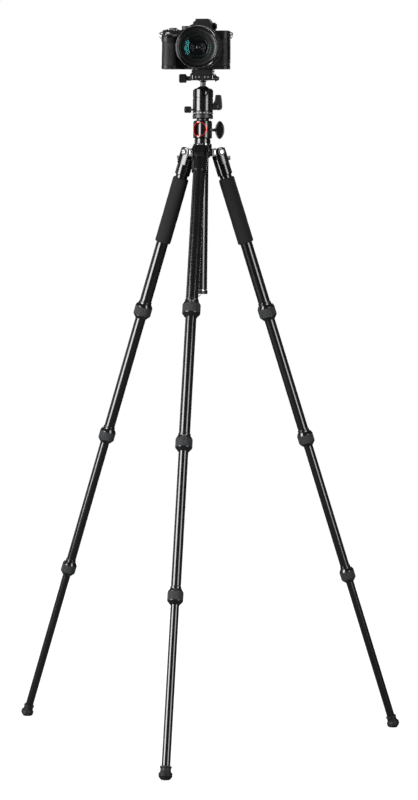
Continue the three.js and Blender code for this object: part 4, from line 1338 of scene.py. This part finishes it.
    def plate(self) -> Form:
        """The camera's plate: a dovetail rail under a slab with ridged rubber."""
        bottom = self.clamp_floor + self.gap
        slope = bottom + 2.2
        waist = slope + 2.9
        under = max(self.clamp_top + self.gap, waist)
        wide, narrow = self.rail
        right = [
            (wide, bottom), (wide, slope), (narrow, waist), (narrow, under), (self.plate_half, under),
            (self.plate_half, self.plate_top - 0.9)
        ]
        left = [(-x, z) for x, z in right][::-1]
        half = self.plate_length / 2
        rail = Turn.FORWARD.lay(slab(right + left, -half, half, SATIN, 0.4))
        ridges = [
            brick(
                -self.plate_half + 1.4, self.plate_half - 1.4, y, y + 1.7, self.plate_top - 1.2,
                self.plate_top, FOOT_RUBBER, 0.3, 0.2
            )
            for y in (-24 + 2.6 * i for i in range(19))
        ]
        screw = turned(
            [(0, bottom - 0.05), (6.2, bottom - 0.05), (6.4, bottom + 0.4), (0, bottom + 0.4)], STEEL, 48,
            0.02
        )
        return rail.with_(*ridges, screw)

    def build(self) -> None:
        """Makes the head's pieces."""
        base, table, head = self.stance.base, self.stance.turntable(), self.stance.head()
        set_piece("panning_base", self.pan_base(), "column", base, ["pan_base"])
        set_piece("head_housing", self.housing(), "ball_housing", table, ["ball_housing"])
        set_piece("head_index", self.index_mark(), "ball_housing", table)
        set_piece("head_lever", self.lever(), "main_lever", table, ["main_lever"])
        set_piece("pan_knob", self.pan_knob(), "pan_lock_knob", table, ["pan_lock_knob"])
        set_piece("ball_on_stem", self.ball(), "ball", head, ["ball_and_stem"])
        set_piece("clamp_base", self.clamp(), "clamp", head, ["clamp_body"])
        set_piece("clamp_side", self.clamp_jaw(), "clamp_jaw", head, ["clamp_jaw"])
        set_piece("clamp_screw_knob", self.clamp_knob(), "clamp_knob", head, ["clamp_knob"])
        set_piece("clamp_pan_knob", self.clamp_lock(), "clamp_lock_knob", head, ["clamp_lock_knob"])
        set_piece("camera_plate", self.plate(), "camera", head, ["quick_plate"])


# ---------------------------------------------------------------- camera


@dataclass
class CameraBody:
    """The camera's shell with its grip, hump, controls and screen."""

    stance: Stance
    left: float = 78.5
    right: float = 52.5
    front: float = 20.0
    back: float = 22.0
    deck: float = 75.3
    grip_deck: float = 76.3
    top: float = 97.7
    axis_up: float = 41.0
    grip_front: float = 48.0
    grip_width: float = 33.0
    grip_top: float = 64.0
    skin_low: float = 7.0
    skin_high: float = 59.0

    def slope(self) -> float:
        """How steeply the top of the grip falls to the front, in radians."""
        return math.atan2(self.grip_deck - self.grip_top - 6, self.grip_front - self.front)

    def on_grip(self, form: Form, x: float, y: float) -> Form:
        """A shape set on the sloping top of the grip."""
        rise = (y + self.grip_front) * math.tan(self.slope())
        return form.moved(
            Matrix.Translation((x, y, self.grip_top + rise)) @ Matrix.Rotation(self.slope(), 4, "X")
        )

    def shell(self) -> Form:
        """The main block, with its leather band between two plain ones."""
        outline = plan(-self.left, self.right, -self.front, self.back, (2, 13, 7, 7))
        levels = [(2.0, 0.0), (0.6, 0.6), (0.0, 2.0), (0.0, self.skin_low), (0.5, self.skin_low + 0.4)]
        levels += [(0.5, self.skin_high - 0.4), (0.0, self.skin_high), (0.0, self.deck - 2.4)]
        levels += [(0.35, self.deck - 1.1), (1.1, self.deck - 0.35), (2.4, self.deck)]
        rings = [[Vector((x, y, z)) for x, y in inset(outline, pull)] for pull, z in levels]
        form = loft(rings, SHELL)
        return form.painted(
            LEATHER, lambda p: self.skin_low < p.z < self.skin_high and (p.y < 15 or abs(p.x) > 50)
        )

    def grip(self) -> Form:
        """The hand grip: full at its foot and its top, drawn in for the fingers."""
        tilt = math.tan(self.slope())
        rings = []
        levels = [
            (2.2, 0.0, 1.0), (0.6, 0.7, 1.0), (0.0, 2.2, 1.0), (0.0, self.skin_low, 1.0), (
                0.5, self.skin_low + 0.4, 1.0
            ),
            (0.5, 18, 0.98), (0.5, 28, 0.93), (0.5, 38, 0.84), (0.5, 47, 0.78),
            (0.5, 53, 0.8), (0.5, 56.5, 0.95), (0.5, self.skin_high - 6.4, 1.0),
            (0.0, self.skin_high - 6, 1.0), (0.0, self.grip_top - 3.2, 1.0),
            (0.5, self.grip_top - 1.5, 1.0), (1.5, self.grip_top - 0.5, 1.0), (3.2, self.grip_top, 1.0),
        ]
        for pull, z, share in levels:
            reach = -20 - (self.grip_front - 20) * share
            outline = plan(-self.left, -self.left + self.grip_width, reach, 2, (14, 11, 2, 2))
            ring = []
            for x, y in inset(outline, pull):
                lift = max(0.0, z - 50) / (self.grip_top - 50) * tilt * (min(y, -16) + self.grip_front)
                ring.append(Vector((x, y, z + lift)))
            rings.append(ring)
        form = loft(rings, SHELL)
        return form.painted(LEATHER, lambda p: self.skin_low < p.z < self.skin_high - 4)

    def deck_plate(self) -> Form:
        """The raised deck on the grip side."""
        outline = plan(-self.left + 1, -20, -self.front + 1, self.back - 2, (4, 2, 2, 6))
        return slab(outline, self.deck - 6, self.grip_deck, SHELL, 0.8)

    def hump(self) -> Form:
        """The finder's housing over the lens, with a rail for accessories."""
        foot = max(self.deck - 3, self.axis_up + 33.3)
        top = self.top
        outline = rounded([
            (-24, foot), (21, foot), (20, self.deck), (16, top - 4),
            (13, top), (-12.5, top), (-13.5, top - 4.5),
            (-17.5, top - 6), (-17.7, top - 10.5), (-24, top - 12.5),
        ], 1.4, 3)
        form = Turn.FORWARD.lay(slab(outline, -24, 27, SHELL, 1.6))
        shoe = brick(-9.5, 9.5, -8, 12, top - 1.8, top + 5, SHELL, 0.4, 0.2)
        badge = Turn.FORWARD.lay(
            brick(-12.0, 12.0, self.deck + 5.5, self.deck + 13.5, 26.2, 27.15, SHELL, 1.5, 0.4)
        )
        return form.cut(shoe).with_(badge)

    def shoe_rails(self) -> Form:
        """The bright bent rails and floor of the accessory shoe."""
        floor = brick(-9.2, 9.2, -7.7, 11.7, self.top - 1.75, self.top - 1.3, STEEL, 0.4, 0.1)
        side = brick(6.4, 9.3, -7.7, 11.7, self.top - 0.45, self.top + 0.1, STEEL, 0.3, 0.15)
        wall = brick(8.7, 9.3, -7.7, 11.7, self.top - 1.5, self.top, STEEL, 0.1, 0.1)
        mirrored = Matrix.Rotation(math.pi, 4, "Z")
        rails = side.with_(wall)
        return floor.with_(rails, rails.moved(Matrix.Translation((0, 4, 0)) @ mirrored))

    def eyecup(self) -> Form:
        """The soft eyepiece behind the hump, with its window and focus wheel."""
        outline = plan(-20, 22.5, 20, self.back + 13, (1, 1, 5, 5))
        cup = slab(outline, 72.4, 91.5, FOOT_RUBBER, 2.0)
        recess = Turn.BACKWARD.lay(
            brick(-11.5, 13.5, -88.5, -76.0, self.back + 8, self.back + 20, FOOT_RUBBER, 2.5, 0.4)
        )
        pane = Turn.BACKWARD.lay(
            brick(-11.2, 13.2, -88.2, -76.3, self.back + 7.4, self.back + 8.6, SCREEN, 2.2, 0.2)
        )
        wheel = Turn.ALONG_X.lay(
            turned(
                [(0, 21.5), (4.6, 21.5), (4.9, 22), (4.9, 25.2), (4.4, 25.7), (0, 25.7)], SATIN, FINE, 0.3,
                Ribs(20, 0.3, 22.2, 25.0)
            )
        )
        return cup.cut(recess).with_(pane, wheel.at(0, 15, 84))

    def mount(self) -> Form:
        """The bright ring that the lens sits on, with its release button."""
        ring = turned([(0, 10), (33, 10), (33, 21.3), (32.3, 22), (0, 22)], STEEL, 96, 0.3)
        rim = turned([(34.2, 18.6), (34.2, 20.2), (33.4, 20.9), (30, 20.9), (30, 18.6)], SATIN, 96, 0.2)
        button = turned([(0, 18), (4.4, 18), (4.4, 22.4), (3.6, 23.2), (0, 23.2)], SATIN, 48, 0.4)
        form = ring.with_(rim, button.at(40, -6, 0))
        return Turn.FORWARD.lay(form).at(0, 0, self.axis_up)

    def controls(self) -> Form:
        """Fixed dials, buttons and covers on the deck, the back and the sides."""
        deck = self.grip_deck
        wheel = turned(
            [(0, deck - 1), (7.8, deck - 1), (7.8, deck + 4.0), (7.0, deck + 4.8), (0, deck + 4.8)], SATIN,
            FINE, 0.4, Ribs(28, 0.35, deck + 0.5, deck + 4.2)
        )
        form = wheel.at(-60.5, 13, 0)
        bezel = sleeve(7.0, 8.3, deck - 0.5, deck + 0.5, STEEL, 0.2).at(-60.5, 13, 0)
        form = form.with_(bezel)
        for x, y in ((-49.5, -11), (-56.5, -14), (-70, -10)):
            button = turned(
                [(0, deck - 1), (2.7, deck - 1), (2.7, deck + 1.1), (2.0, deck + 1.7), (0, deck + 1.7)],
                GLOSS, 32, 0.3
            )
            ring = sleeve(2.9, 3.6, deck - 0.5, deck + 0.35, STEEL, 0.15)
            form = form.with_(button.at(x, y, 0), ring.at(x, y, 0))
        front_wheel = Turn.ALONG_X.lay(
            turned(
                [(0, -6), (6.4, -6), (6.8, -5.4), (6.8, 5.4), (6.4, 6), (0, 6)], GLOSS, FINE, 0.3,
                Ribs(26, 0.35, -5, 5)
            )
        )
        form = form.with_(front_wheel.at(-61, -41.5, self.grip_top - 2.4))
        for x, z, r in ((47.5, 69, 3.2), (47.5, 57, 3.2), (-48.5, 69, 2.6)):
            button = turned(
                [
                    (0, self.back - 1), (r, self.back - 1), (r, self.back + 0.9), (r - 0.7, self.back + 1.6),
                    (0, self.back + 1.6)
                ],
                SATIN, 32, 0.3
            )
            form = form.with_(Turn.BACKWARD.lay(button).at(-x - 8, 0, z))
        pad = turned([
            (0, self.back - 1), (9.4, self.back - 1), (
                9.4, self.back + 1.4
            ), (8.8, self.back + 2), (5.6, self.back + 2),
            (5.2, self.back + 1.2), (4.6, self.back + 1.2), (4.2, self.back + 2.1), (0, self.back + 2.1),
        ], SATIN, FINE, 0.2, Ribs(36, 0.3, self.back, self.back + 1.3))
        form = form.with_(Turn.BACKWARD.lay(pad).at(-60, 0, 32))
        rest = slab(plan(-76, -50, 52, 70, (5, 5, 5, 5)), self.back - 1, self.back + 2.4, LEATHER, 1.6)
        form = form.with_(Turn.BACKWARD.lay(rest.moved(Matrix.Scale(-1, 4, (0, 1, 0)))))
        lamp = Turn.FORWARD.lay(
            turned([(0, 19), (2.6, 19), (2.6, 20.2), (2.1, 20.6), (0, 20.6)], SCREEN, 32, 0.2)
        ).at(-30, 0, 66)
        door = Turn.ALONG_X.lay(
            brick(-58, -12, -12, 12, self.right - 0.6, self.right + 0.35, SHELL, 2.5, 0.3)
        )
        battery = brick(-72, -38, -40, 8, -0.25, 0.4, SHELL, 3, 0.2)
        return form.with_(lamp, door, battery)

    def lugs(self) -> Form:
        """A strap eye on each side with a split ring hanging in it."""
        form = None
        for x, side, y, out in ((-self.left, -1, -12, 4.4), (self.right, 1, 2, 3.4)):
            eye = Turn.FORWARD.lay(sleeve(1.6, 3.4, -1.2, 1.2, STEEL, 0.3)).at(x + side * 2.2, y, 69.5)
            points = [
                Vector(
                    (
                        x + side * (out + 2.2 * math.cos(t + 0.9)), y + 3.6 * math.sin(t),
                        65.5 + 5.4 * math.cos(t)
                    )
                )
                for t in (2 * math.pi * i / 28 for i in range(28))
            ]
            pair = eye.with_(wire(points, 0.65, STEEL, 10))
            form = pair if form is None else form.with_(pair)
        return form

    def shutter(self) -> Form:
        """The shutter button's dished cap."""
        foot = -1.8
        cap = turned([
            (0, foot), (5.5, foot), (5.5, 2.2), (5.0, 2.9), (4.2, 3.2), (2.4, 2.9), (0, 2.7),
        ], STEEL, FINE, 0.2).painted(LIT_SATIN, lambda p: p.z < 2.3)
        return self.on_grip(cap, -66, -34)

    def shutter_collar(self) -> Form:
        """The on-off collar round the shutter button."""
        collar = sleeve(5.9, 8.6, -1.5, 1.9, GLOSS, 0.5)
        tab = brick(-2.0, 2.0, -11.2, -7.6, -0.4, 1.7, SATIN, 0.8, 0.5)
        return self.on_grip(collar.with_(tab), -66, -34)

    def mode_dial(self) -> Form:
        """The mode dial, with its knurled edge and a ring of generic marks."""
        low, high = self.grip_deck + 0.3, self.grip_deck + 8
        dial = turned([
            (0, low), (8.6, low), (9, low + 0.5), (9, high - 0.9), (8.3, high), (0, high),
        ], SATIN, FINE, 0.3, Ribs(40, 0.35, low + 0.8, high - 1.1))
        marks = [
            brick(5.6, 7.2, -0.35 * size, 0.35 * size, high - 0.2, high + 0.04, MARK, 0.1, 0.02)
            .moved(Matrix.Rotation(2 * math.pi * i / 10, 4, "Z"))
            for i, size in enumerate((1.6, 1, 1, 1.6, 1, 1, 1.6, 1, 1, 1))
        ]
        button = turned(
            [(0, high - 0.3), (3, high - 0.3), (3, high - 0.05), (2.5, high + 0.25), (0, high + 0.15)], LIT_SATIN,
            40, 0.1
        )
        return dial.with_(*marks, button).at(-33.5, 4, 0)

    def rear_screen(self) -> Form:
        """The hinged screen: a framed pane of dark glass."""
        face = self.back + 0.3
        outline = plan(-38, 42, 5, 66, (2.5, 2.5, 2.5, 2.5))
        frame_form = slab(outline, -face - 5.0, -face, SHELL, 0.9)
        pane = slab(plan(-35, 39, 9, 63, (1.2, 1.2, 1.2, 1.2)), -face - 5.45, -face - 4.6, SCREEN, 0.25)
        return Turn.FORWARD.lay(frame_form.with_(pane))

    def build(self) -> None:
        """Makes the camera's pieces."""
        here = self.stance.camera()
        set_piece("camera_shell", self.shell(), "camera", here, ["camera_body"])
        set_piece("camera_grip", self.grip(), "camera", here)
        set_piece("camera_deck", self.deck_plate(), "camera", here)
        set_piece("finder_hump", self.hump(), "camera", here)
        set_piece("accessory_shoe", self.shoe_rails(), "camera", here)
        set_piece("eyepiece", self.eyecup(), "camera", here)
        set_piece("lens_mount", self.mount(), "camera", here)
        set_piece("fixed_controls", self.controls(), "camera", here)
        set_piece("strap_lugs", self.lugs(), "camera", here)
        set_piece("release_collar", self.shutter_collar(), "camera", here)
        set_piece("release_button", self.shutter(), "shutter_button", here, ["shutter_button"])
        set_piece("program_dial", self.mode_dial(), "mode_dial", here, ["mode_dial"])
        set_piece("tilting_screen", self.rear_screen(), "rear_screen", here, ["rear_screen"])


@dataclass
class ZoomLens:
    """The zoom lens: a fixed barrel, two ribbed rings and a moving front."""

    stance: Stance
    start: float = 22.3
    end: float = 133.0
    zoom: Pair = (54.0, 92.0)
    focus: Pair = (98.0, 113.0)
    barrel_radius: float = 39.5
    inner_radius: float = 35.0
    rim_radius: float = 40.25
    glass_radius: float = 31.5

    def barrel(self) -> Form:
        """The fixed barrel, which narrows at the mount and carries the zoom scale."""
        r = self.barrel_radius
        under = r - 2.7
        low, high = self.zoom[0] - 0.3, self.zoom[1] + 0.3
        front = self.focus[0] - 3
        bore = self.inner_radius + 0.3
        form = turned([
            (32, self.start), (32, 25), (32.4, 25.6), (32.4, 27.3),
            (r - 0.4, 34.3), (r, 35.5), (r, low - 8.4),
            (r - 0.4, low - 8.1), (r - 0.4, low - 7.6), (r, low - 7.3),
            (r, low), (under, low), (under, high), (r, high),
            (r, front), (bore, front), (bore, low - 7.7), (24, low - 11.7), (24, self.start),
        ], BARREL, 96, 0.3)
        marks = [
            brick(-0.3, 0.3, r - 0.4, r + 0.04, low - 5.6, low - 2.0, MARK, 0.05, 0.02)
            .moved(Matrix.Rotation(math.radians(turn), 4, "Z"))
            for turn in (-40, -24, -10, 2, 14)
        ]
        dot = brick(-1, 1, r - 0.4, r + 0.05, low + 41, low + 42.4, MARK, 0.5, 0.02)
        return form.with_(*marks, dot)

    def zoom_ring(self) -> Form:
        """The wide zoom ring with blocks of ribs."""
        low, high = self.zoom
        outer = self.barrel_radius + 2.7
        inner = self.barrel_radius - 2.2
        form = turned([
            (inner, low), (outer - 0.9, low), (
                outer - 0.5, low + 0.9
            ), (outer - 0.5, low + 3.4), (outer, low + 4.0),
            (outer, high - 4.0), (
                outer - 0.5, high - 3.4
            ), (outer - 0.5, high - 0.9), (outer - 0.9, high), (inner, high),
        ], RING_RUBBER, 96, 0.3, Ribs(72, 0.9, low + 4.6, high - 4.6))
        return form.painted(BARREL, lambda p: p.z < low + 3.6 or p.z > high - 3.6)

    def focus_ring(self) -> Form:
        """The narrow focus ring with fine ribs."""
        low, high = self.focus
        inner = self.inner_radius + 0.5
        outer = inner + 5.4
        return turned([
            (inner, low), (outer - 0.8, low), (outer, low + 0.8),
            (outer, high - 0.8), (outer - 0.8, high), (inner, high),
        ], RING_RUBBER, 96, 0.3, Ribs(90, 0.6, low + 1.8, high - 1.8))

    def front(self) -> Form:
        """The moving barrel: a bright-edged rim and a stepped, ridged mouth."""
        slim = self.inner_radius - 0.2
        rim = self.rim_radius
        back = self.end - 18
        seat = self.end - 16
        glass = self.glass_radius + 0.3
        outline: list[Pair] = [
            (slim, self.zoom[0] - 6), (slim, back), (rim - 1, back), (rim, back + 1.2), (rim, self.end - 2.4),
        ]
        for i in range(1, 8):
            turn = math.radians(90 * i / 7)
            outline.append((rim - 2.4 + 2.4 * math.cos(turn), self.end - 2.4 + 2.4 * math.sin(turn)))
        outline += [
            (37.5, self.end), (37.2, self.end - 0.4), (37.2, self.end - 1.6), (36.9, self.end - 2.2),
            (34.8, self.end - 3.2), (34.4, self.end - 4.2)
        ]
        for i in range(4):
            z = self.end - 5.4 - 1.9 * i
            r = 34.2 - 0.5 * i
            outline += [(r, z), (r - 0.1, z - 1.5), (r - 0.5, z - 1.6)]
        outline += [
            (glass + 1.2, seat + 3), (glass, seat + 2.9), (glass, seat - 0.3), (glass - 2.5, seat - 0.3),
            (glass - 2.5, self.zoom[0] - 6)
        ]
        form = turned(outline, BARREL, 96)
        return form.painted(INNER, lambda p: math.hypot(p.x, p.y) < 34.6 and p.z > seat - 2)

    def glass(self) -> Form:
        """The domed front element."""
        seat = self.end - 16
        r = self.glass_radius
        outline: list[Pair] = [(0, seat), (r, seat), (r, seat + 2)]
        for i in range(1, 13):
            part = i / 12
            outline.append((r * (1 - part), seat + 2 + 8.5 * (1 - (1 - part) ** 2)))
        return turned(outline, GLASS, 96)

    def bead(self, radius: float, height: float, half: float, finish: Finish) -> Form:
        """A ring with a half-round front, which catches the light as a thin arc."""
        outline: list[Pair] = [(radius + half, height - half)]
        for i in range(9):
            turn = math.pi * i / 8
            outline.append((radius + half * math.cos(turn), height + half * math.sin(turn)))
        return turned([*outline, (radius - half, height - half)], finish, 96)

    def depths(self) -> Form:
        """What shows behind the front glass: stepped rings and coated elements."""
        seat = self.end - 17
        steps: list[Pair] = []
        for i in range(7):
            r = 29.0 - 1.0 * i
            z = seat - 1.2 * i
            steps += [(r, z), (r - 0.4, z - 1.0), (r - 1.0, z - 1.1)]
        funnel = turned([*steps, (21.9, seat - 26), (29.0, seat - 26)][::-1], INNER, 96)
        edge = self.bead(20.8, seat - 9.5, 1.3, BARREL)
        fine = self.bead(18.3, seat - 9.6, 0.4, BUSH)
        rings = [self.bead(r, seat - 10.5 - i, 0.9, BARREL) for i, r in enumerate((14.4, 12.4, 10.2, 8.4))]
        eye = turned(self._dome(7.0, seat - 15.0, 3.3), DEEP_GLASS, FINE)
        floor = turned(
            [(0, seat - 22), (22.5, seat - 22), (22.5, seat - 12), (7.2, seat - 14.4), (0, seat - 14.4)],
            INNER, 96
        )
        return funnel.with_(edge, fine, *rings, eye, floor)

    def _dome(self, radius: float, foot: float, height: float) -> list[Pair]:
        """The outline of a lens element that bulges forward."""
        curve = [(radius * (1 - i / 8), foot + 1 + height * (1 - (1 - i / 8) ** 2)) for i in range(1, 9)]
        return [(0, foot), (radius, foot), (radius, foot + 1), *curve]

    def rim_band(self) -> Form:
        """Bright hairlines: one round the barrel, two on the front rim."""
        rim = self.rim_radius
        band = turned([
            (rim - 0.4, self.end - 6.2), (
                rim + 0.06, self.end - 6.2
            ), (rim + 0.06, self.end - 5.2), (rim - 0.4, self.end - 5.2),
        ], STEEL, 96)
        return band.with_(
            self.bead(rim - 1.0, self.end - 0.75, 0.55, BUSH), self.bead(35.6, self.end - 2.7, 0.5, BUSH)
        )

    def build(self) -> None:
        """Makes the lens's pieces."""
        here = self.stance.lens()
        set_piece("lens_fixed_barrel", self.barrel(), "camera", here, ["lens_barrel"])
        set_piece("zoom_grip", self.zoom_ring(), "zoom_ring", here, ["zoom_ring"], 25)
        set_piece("focus_grip", self.focus_ring(), "focus_ring", here, ["focus_ring"], 25)
        set_piece("moving_barrel", self.front(), "front_barrel", here, ["lens_front_barrel"])
        set_piece("rim_band", self.rim_band(), "front_barrel", here)
        set_piece("front_glass_dome", self.glass(), "front_barrel", here, ["front_element"])
        set_piece("inner_elements", self.depths(), "front_barrel", here)


# ---------------------------------------------------------------- studio


@dataclass(frozen=True)
class SoftBox:
    """A rectangular light that faces the object."""

    name: str
    bearing: float
    distance: float
    height: float
    width: float
    tall: float
    radiance: float
    aim: float = 0.8


@dataclass
class Studio:
    """The floor, the lights and the camera that looks at the object."""

    stance: Stance
    eye: tuple[float, float, float] = (0.5547, -4.5775, 0.7826)
    focal: float = 105.3
    pitch: float = -1.44
    roll: float = 0.68
    bearing: float = 6.91
    shift: Pair = (0.012, 0.0024)
    sky: float = 0.06
    boxes: tuple[SoftBox, ...] = (
        SoftBox("left_strip", -56, 2.6, 0.9, 1.5, 3.0, 8.0),
        SoftBox("right_strip", 45, 2.8, 0.9, 1.1, 3.0, 4.6),
        SoftBox("overhead", 180, 0.9, 3.2, 1.8, 1.8, 1.8, 0.6),
        SoftBox("back", 180, 2.8, 1.2, 1.1, 2.4, 3.2),
        SoftBox("far_left", -118, 2.8, 1.2, 0.5, 2.4, 1.0),
    )

    def camera(self) -> None:
        """Sets the camera that the render uses."""
        data = bpy.data.cameras.new("viewer")
        data.lens = self.focal
        data.sensor_width = 36
        data.shift_x, data.shift_y = self.shift
        data.clip_end = 100
        viewer = bpy.data.objects.new("viewer", data)
        bpy.context.scene.collection.objects.link(viewer)
        column = self.stance.base.translation * MM
        level = Matrix.Translation(Vector(self.eye) + Vector((0, column.y, 0)))
        turn = Matrix.Rotation(math.radians(self.bearing), 4, "Z")
        raise_ = Matrix.Rotation(math.radians(90 + self.pitch), 4, "X")
        lean = Matrix.Rotation(math.radians(self.roll), 4, "Z")
        viewer.matrix_world = level @ turn @ raise_ @ lean
        bpy.context.scene.camera = viewer

    def light(self, box: SoftBox) -> None:
        """Adds one soft light."""
        data = bpy.data.lights.new(box.name, "AREA")
        data.shape = "RECTANGLE"
        data.size, data.size_y = box.width, box.tall
        data.energy = box.radiance * math.pi * box.width * box.tall
        lamp = bpy.data.objects.new(box.name, data)
        lamp.visible_camera = False
        bpy.context.scene.collection.objects.link(lamp)
        bearing = math.radians(box.bearing + self.bearing)
        column = self.stance.base.translation * MM
        lamp.location = (
            column.x + box.distance * math.sin(bearing),
            column.y - box.distance * math.cos(bearing), box.height,
        )
        aim = Vector((column.x, column.y, box.aim)) - lamp.location
        lamp.rotation_euler = aim.to_track_quat("-Z", "Y").to_euler()

    def world(self) -> None:
        """A dim sky for the object, which shows as white behind it."""
        world = bpy.data.worlds.new("studio_air")
        bpy.context.scene.world = world
        graph = Graph(world, "Background")
        path = graph.node("ShaderNodeLightPath", out="Is Camera Ray")
        graph.set(
            Color=(1, 1, 1, 1), Strength=graph.node("ShaderNodeMix", None, {0: path, 2: self.sky, 3: 1.0})
        )

    def floor(self) -> None:
        """A wide pale floor."""
        form = slab(plan(-40000, 40000, -40000, 40000, (9000,) * 4), -20, 0, MARK, 1.0)
        mesh = form.mesh("floor", Matrix.Scale(MM, 4), [MARK])
        floor = bpy.data.objects.new("floor", mesh)
        bpy.context.scene.collection.objects.link(floor)
        graph = Graph(bpy.data.materials.new("pale_floor"))
        patch = graph.noise(0.7)
        graph.set(Base_Color=graph.mix(patch, (0.12, 0.12, 0.12), (0.14, 0.14, 0.14)))
        graph.set(Roughness=0.9, IOR=1.2)
        path = graph.node("ShaderNodeLightPath", out="Is Camera Ray")
        graph.set(Emission_Color=graph.mix(path, (0.0, 0.0, 0.0), (1.0, 1.0, 1.0)), Emission_Strength=1.0)
        mesh.materials.clear()
        mesh.materials.append(graph.owner)

    def build(self) -> None:
        """Sets up the whole studio."""
        bpy.context.scene.view_settings.view_transform = "Standard"
        self.camera()
        self.world()
        self.floor()
        for box in self.boxes:
            self.light(box)


def main() -> None:
    """Builds every sub-assembly."""
    logging.basicConfig(level=logging.INFO, format="%(message)s")
    stance = Stance()
    Studio(stance).build()
    for side in Side:
        Leg(stance, side).build()
    Spine(stance).build()
    BallHead(stance).build()
    CameraBody(stance).build()
    ZoomLens(stance).build()


if __name__ == "__main__":
    main()
